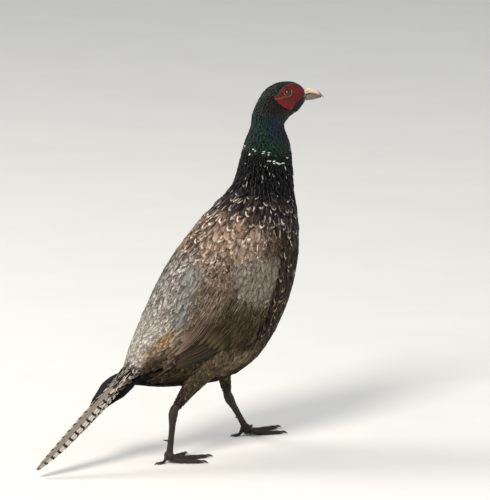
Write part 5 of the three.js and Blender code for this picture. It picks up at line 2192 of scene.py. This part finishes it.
    def ball(self, centre: Array, turn: float) -> Made:
        """The ball of the foot.

        Args:
            centre: Its middle.
            turn: The way the foot points.

        Returns:
            The ball.
        """
        polar, round_ = grid(np.linspace(0, math.pi, 24), 32)
        ahead, aside, high = self.hub_size
        x, y = ahead * np.sin(polar) * np.cos(round_), aside * np.sin(polar) * np.sin(round_)
        cos, sin = math.cos(turn), math.sin(turn)
        return self.floored(np.stack([x * cos - y * sin, x * sin + y * cos, high * np.cos(polar)], -1) + centre, 0.3)

    def claw(self, line: list, radius: float) -> Made:
        """A tapered horn.

        Args:
            line: The points of its middle line.
            radius: How thick its root is.

        Returns:
            The horn, with its own colours.
        """
        form = LimbForm(line, np.array([[1, 1], [0.82, 0.9], [0.5, 0.6], [0.1, 0.12]]) * radius * 0.8, (0, 0, 1))
        t, a = grid(np.linspace(0, 1, 36), 24)
        share = np.append(t.ravel(), [0, 1])
        base = mixed(linear("4d4138"), linear("2b231e"), share)
        made = self.floored(form.skin(t, a), 0.0, {"base": base})
        made.maps["OFBake"] = np.stack([share, share], -1) * 0.01
        return made


@dataclass
class Studio:
    """A pale floor, soft lights and the camera at the photograph's angle."""

    shop: Workshop
    distance: float = 7.0
    azimuth: float = -38.0
    elevation: float = 11.0
    aim_height: float = 0.240
    lens: float = 393.75
    shift: tuple = (0.060, 0.029)
    floor_reach: float = 14.0
    light_aim: tuple = (0, 0, 0.25)
    # each light's name, place, size, power and colour: a broad soft key, a fill and a rim
    lamps: tuple = (
        ("Key", (-3.2, -1.5, 3.4), 1.5, 190, (1.0, 0.95, 0.88)),
        ("Fill", (2.8, -2.2, 1.6), 2.6, 22, (0.92, 0.96, 1.0)),
        ("Rim", (-1.4, 2.4, 2.6), 1.6, 60, (1.0, 0.98, 0.94)),
    )
    sky: tuple = (0.88, 0.93, 1.0, 1)
    sky_strength: float = 0.5

    def build(self) -> None:
        """Builds the camera, the floor and the lights."""
        self.camera()
        self.floor()
        self.lights()

    def stand(self, name: str, data: bpy.types.ID, place: Vector, way: Vector) -> bpy.types.Object:
        """Stands a camera or a light in the studio.

        Args:
            name: Its name.
            data: What it is.
            place: Where it stands.
            way: The way it faces.

        Returns:
            The new object.
        """
        made = bpy.data.objects.new(name, data)
        made.location = place
        made.rotation_mode = "QUATERNION"
        made.rotation_quaternion = way.to_track_quat("-Z", "Y")
        bpy.context.scene.collection.objects.link(made)
        return made

    def camera(self) -> None:
        """Sets the camera at the photograph's viewing angle."""
        a, e = math.radians(self.azimuth), math.radians(self.elevation)
        back = Vector((math.sin(a) * math.cos(e), -math.cos(a) * math.cos(e), math.sin(e)))
        data = bpy.data.cameras.new("Camera")
        data.lens = self.lens
        data.sensor_width = 36
        data.shift_x, data.shift_y = self.shift
        data.clip_start, data.clip_end = 0.1, 60
        place = self.shop.place(0, 0, self.aim_height / MM) + back * self.distance
        bpy.context.scene.camera = self.stand("Camera", data, place, -back)

    def floor(self) -> None:
        """Lays the floor."""
        mesh = bpy.data.meshes.new("floor")
        r = self.floor_reach
        mesh.from_pydata([(-r, -r, 0), (r, -r, 0), (r, r, 0), (-r, r, 0)], [], [(0, 1, 2, 3)])
        floor = bpy.data.objects.new("floor", mesh)
        bpy.context.scene.collection.objects.link(floor)
        mesh.materials.append(self.shop.finishes.floor)

    def lights(self) -> None:
        """Sets the lights and a pale sky."""
        for name, place, size, power, colour in self.lamps:
            data = bpy.data.lights.new(name, "AREA")
            data.shape, data.size, data.energy, data.color = "DISK", size, power, colour
            self.stand(name, data, Vector(place), Vector(self.light_aim) - Vector(place))
        world = bpy.data.worlds.new("Sky")
        world.use_nodes = True
        world.node_tree.nodes["Background"].inputs["Color"].default_value = self.sky
        world.node_tree.nodes["Background"].inputs["Strength"].default_value = self.sky_strength
        bpy.context.scene.world = world
        bpy.context.scene.view_settings.view_transform = "Standard"


def main() -> None:
    """Builds the bird piece by piece."""
    logging.basicConfig(level=logging.INFO, format="%(message)s")
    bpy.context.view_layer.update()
    form = BodyForm()
    shop = Workshop(form)
    Studio(shop).build()
    thighs = Thighs()
    face = Face(shop, form)
    BodySkin(shop, form, thighs).build()
    Coat(shop, form, face).build()
    ThighCoat(shop, thighs).build()
    Wing(shop, form).build()
    Tail(shop).build()
    face.build()
    Bill(shop, form).build()
    Legs(shop, thighs).build()


if __name__ == "__main__":
    main()
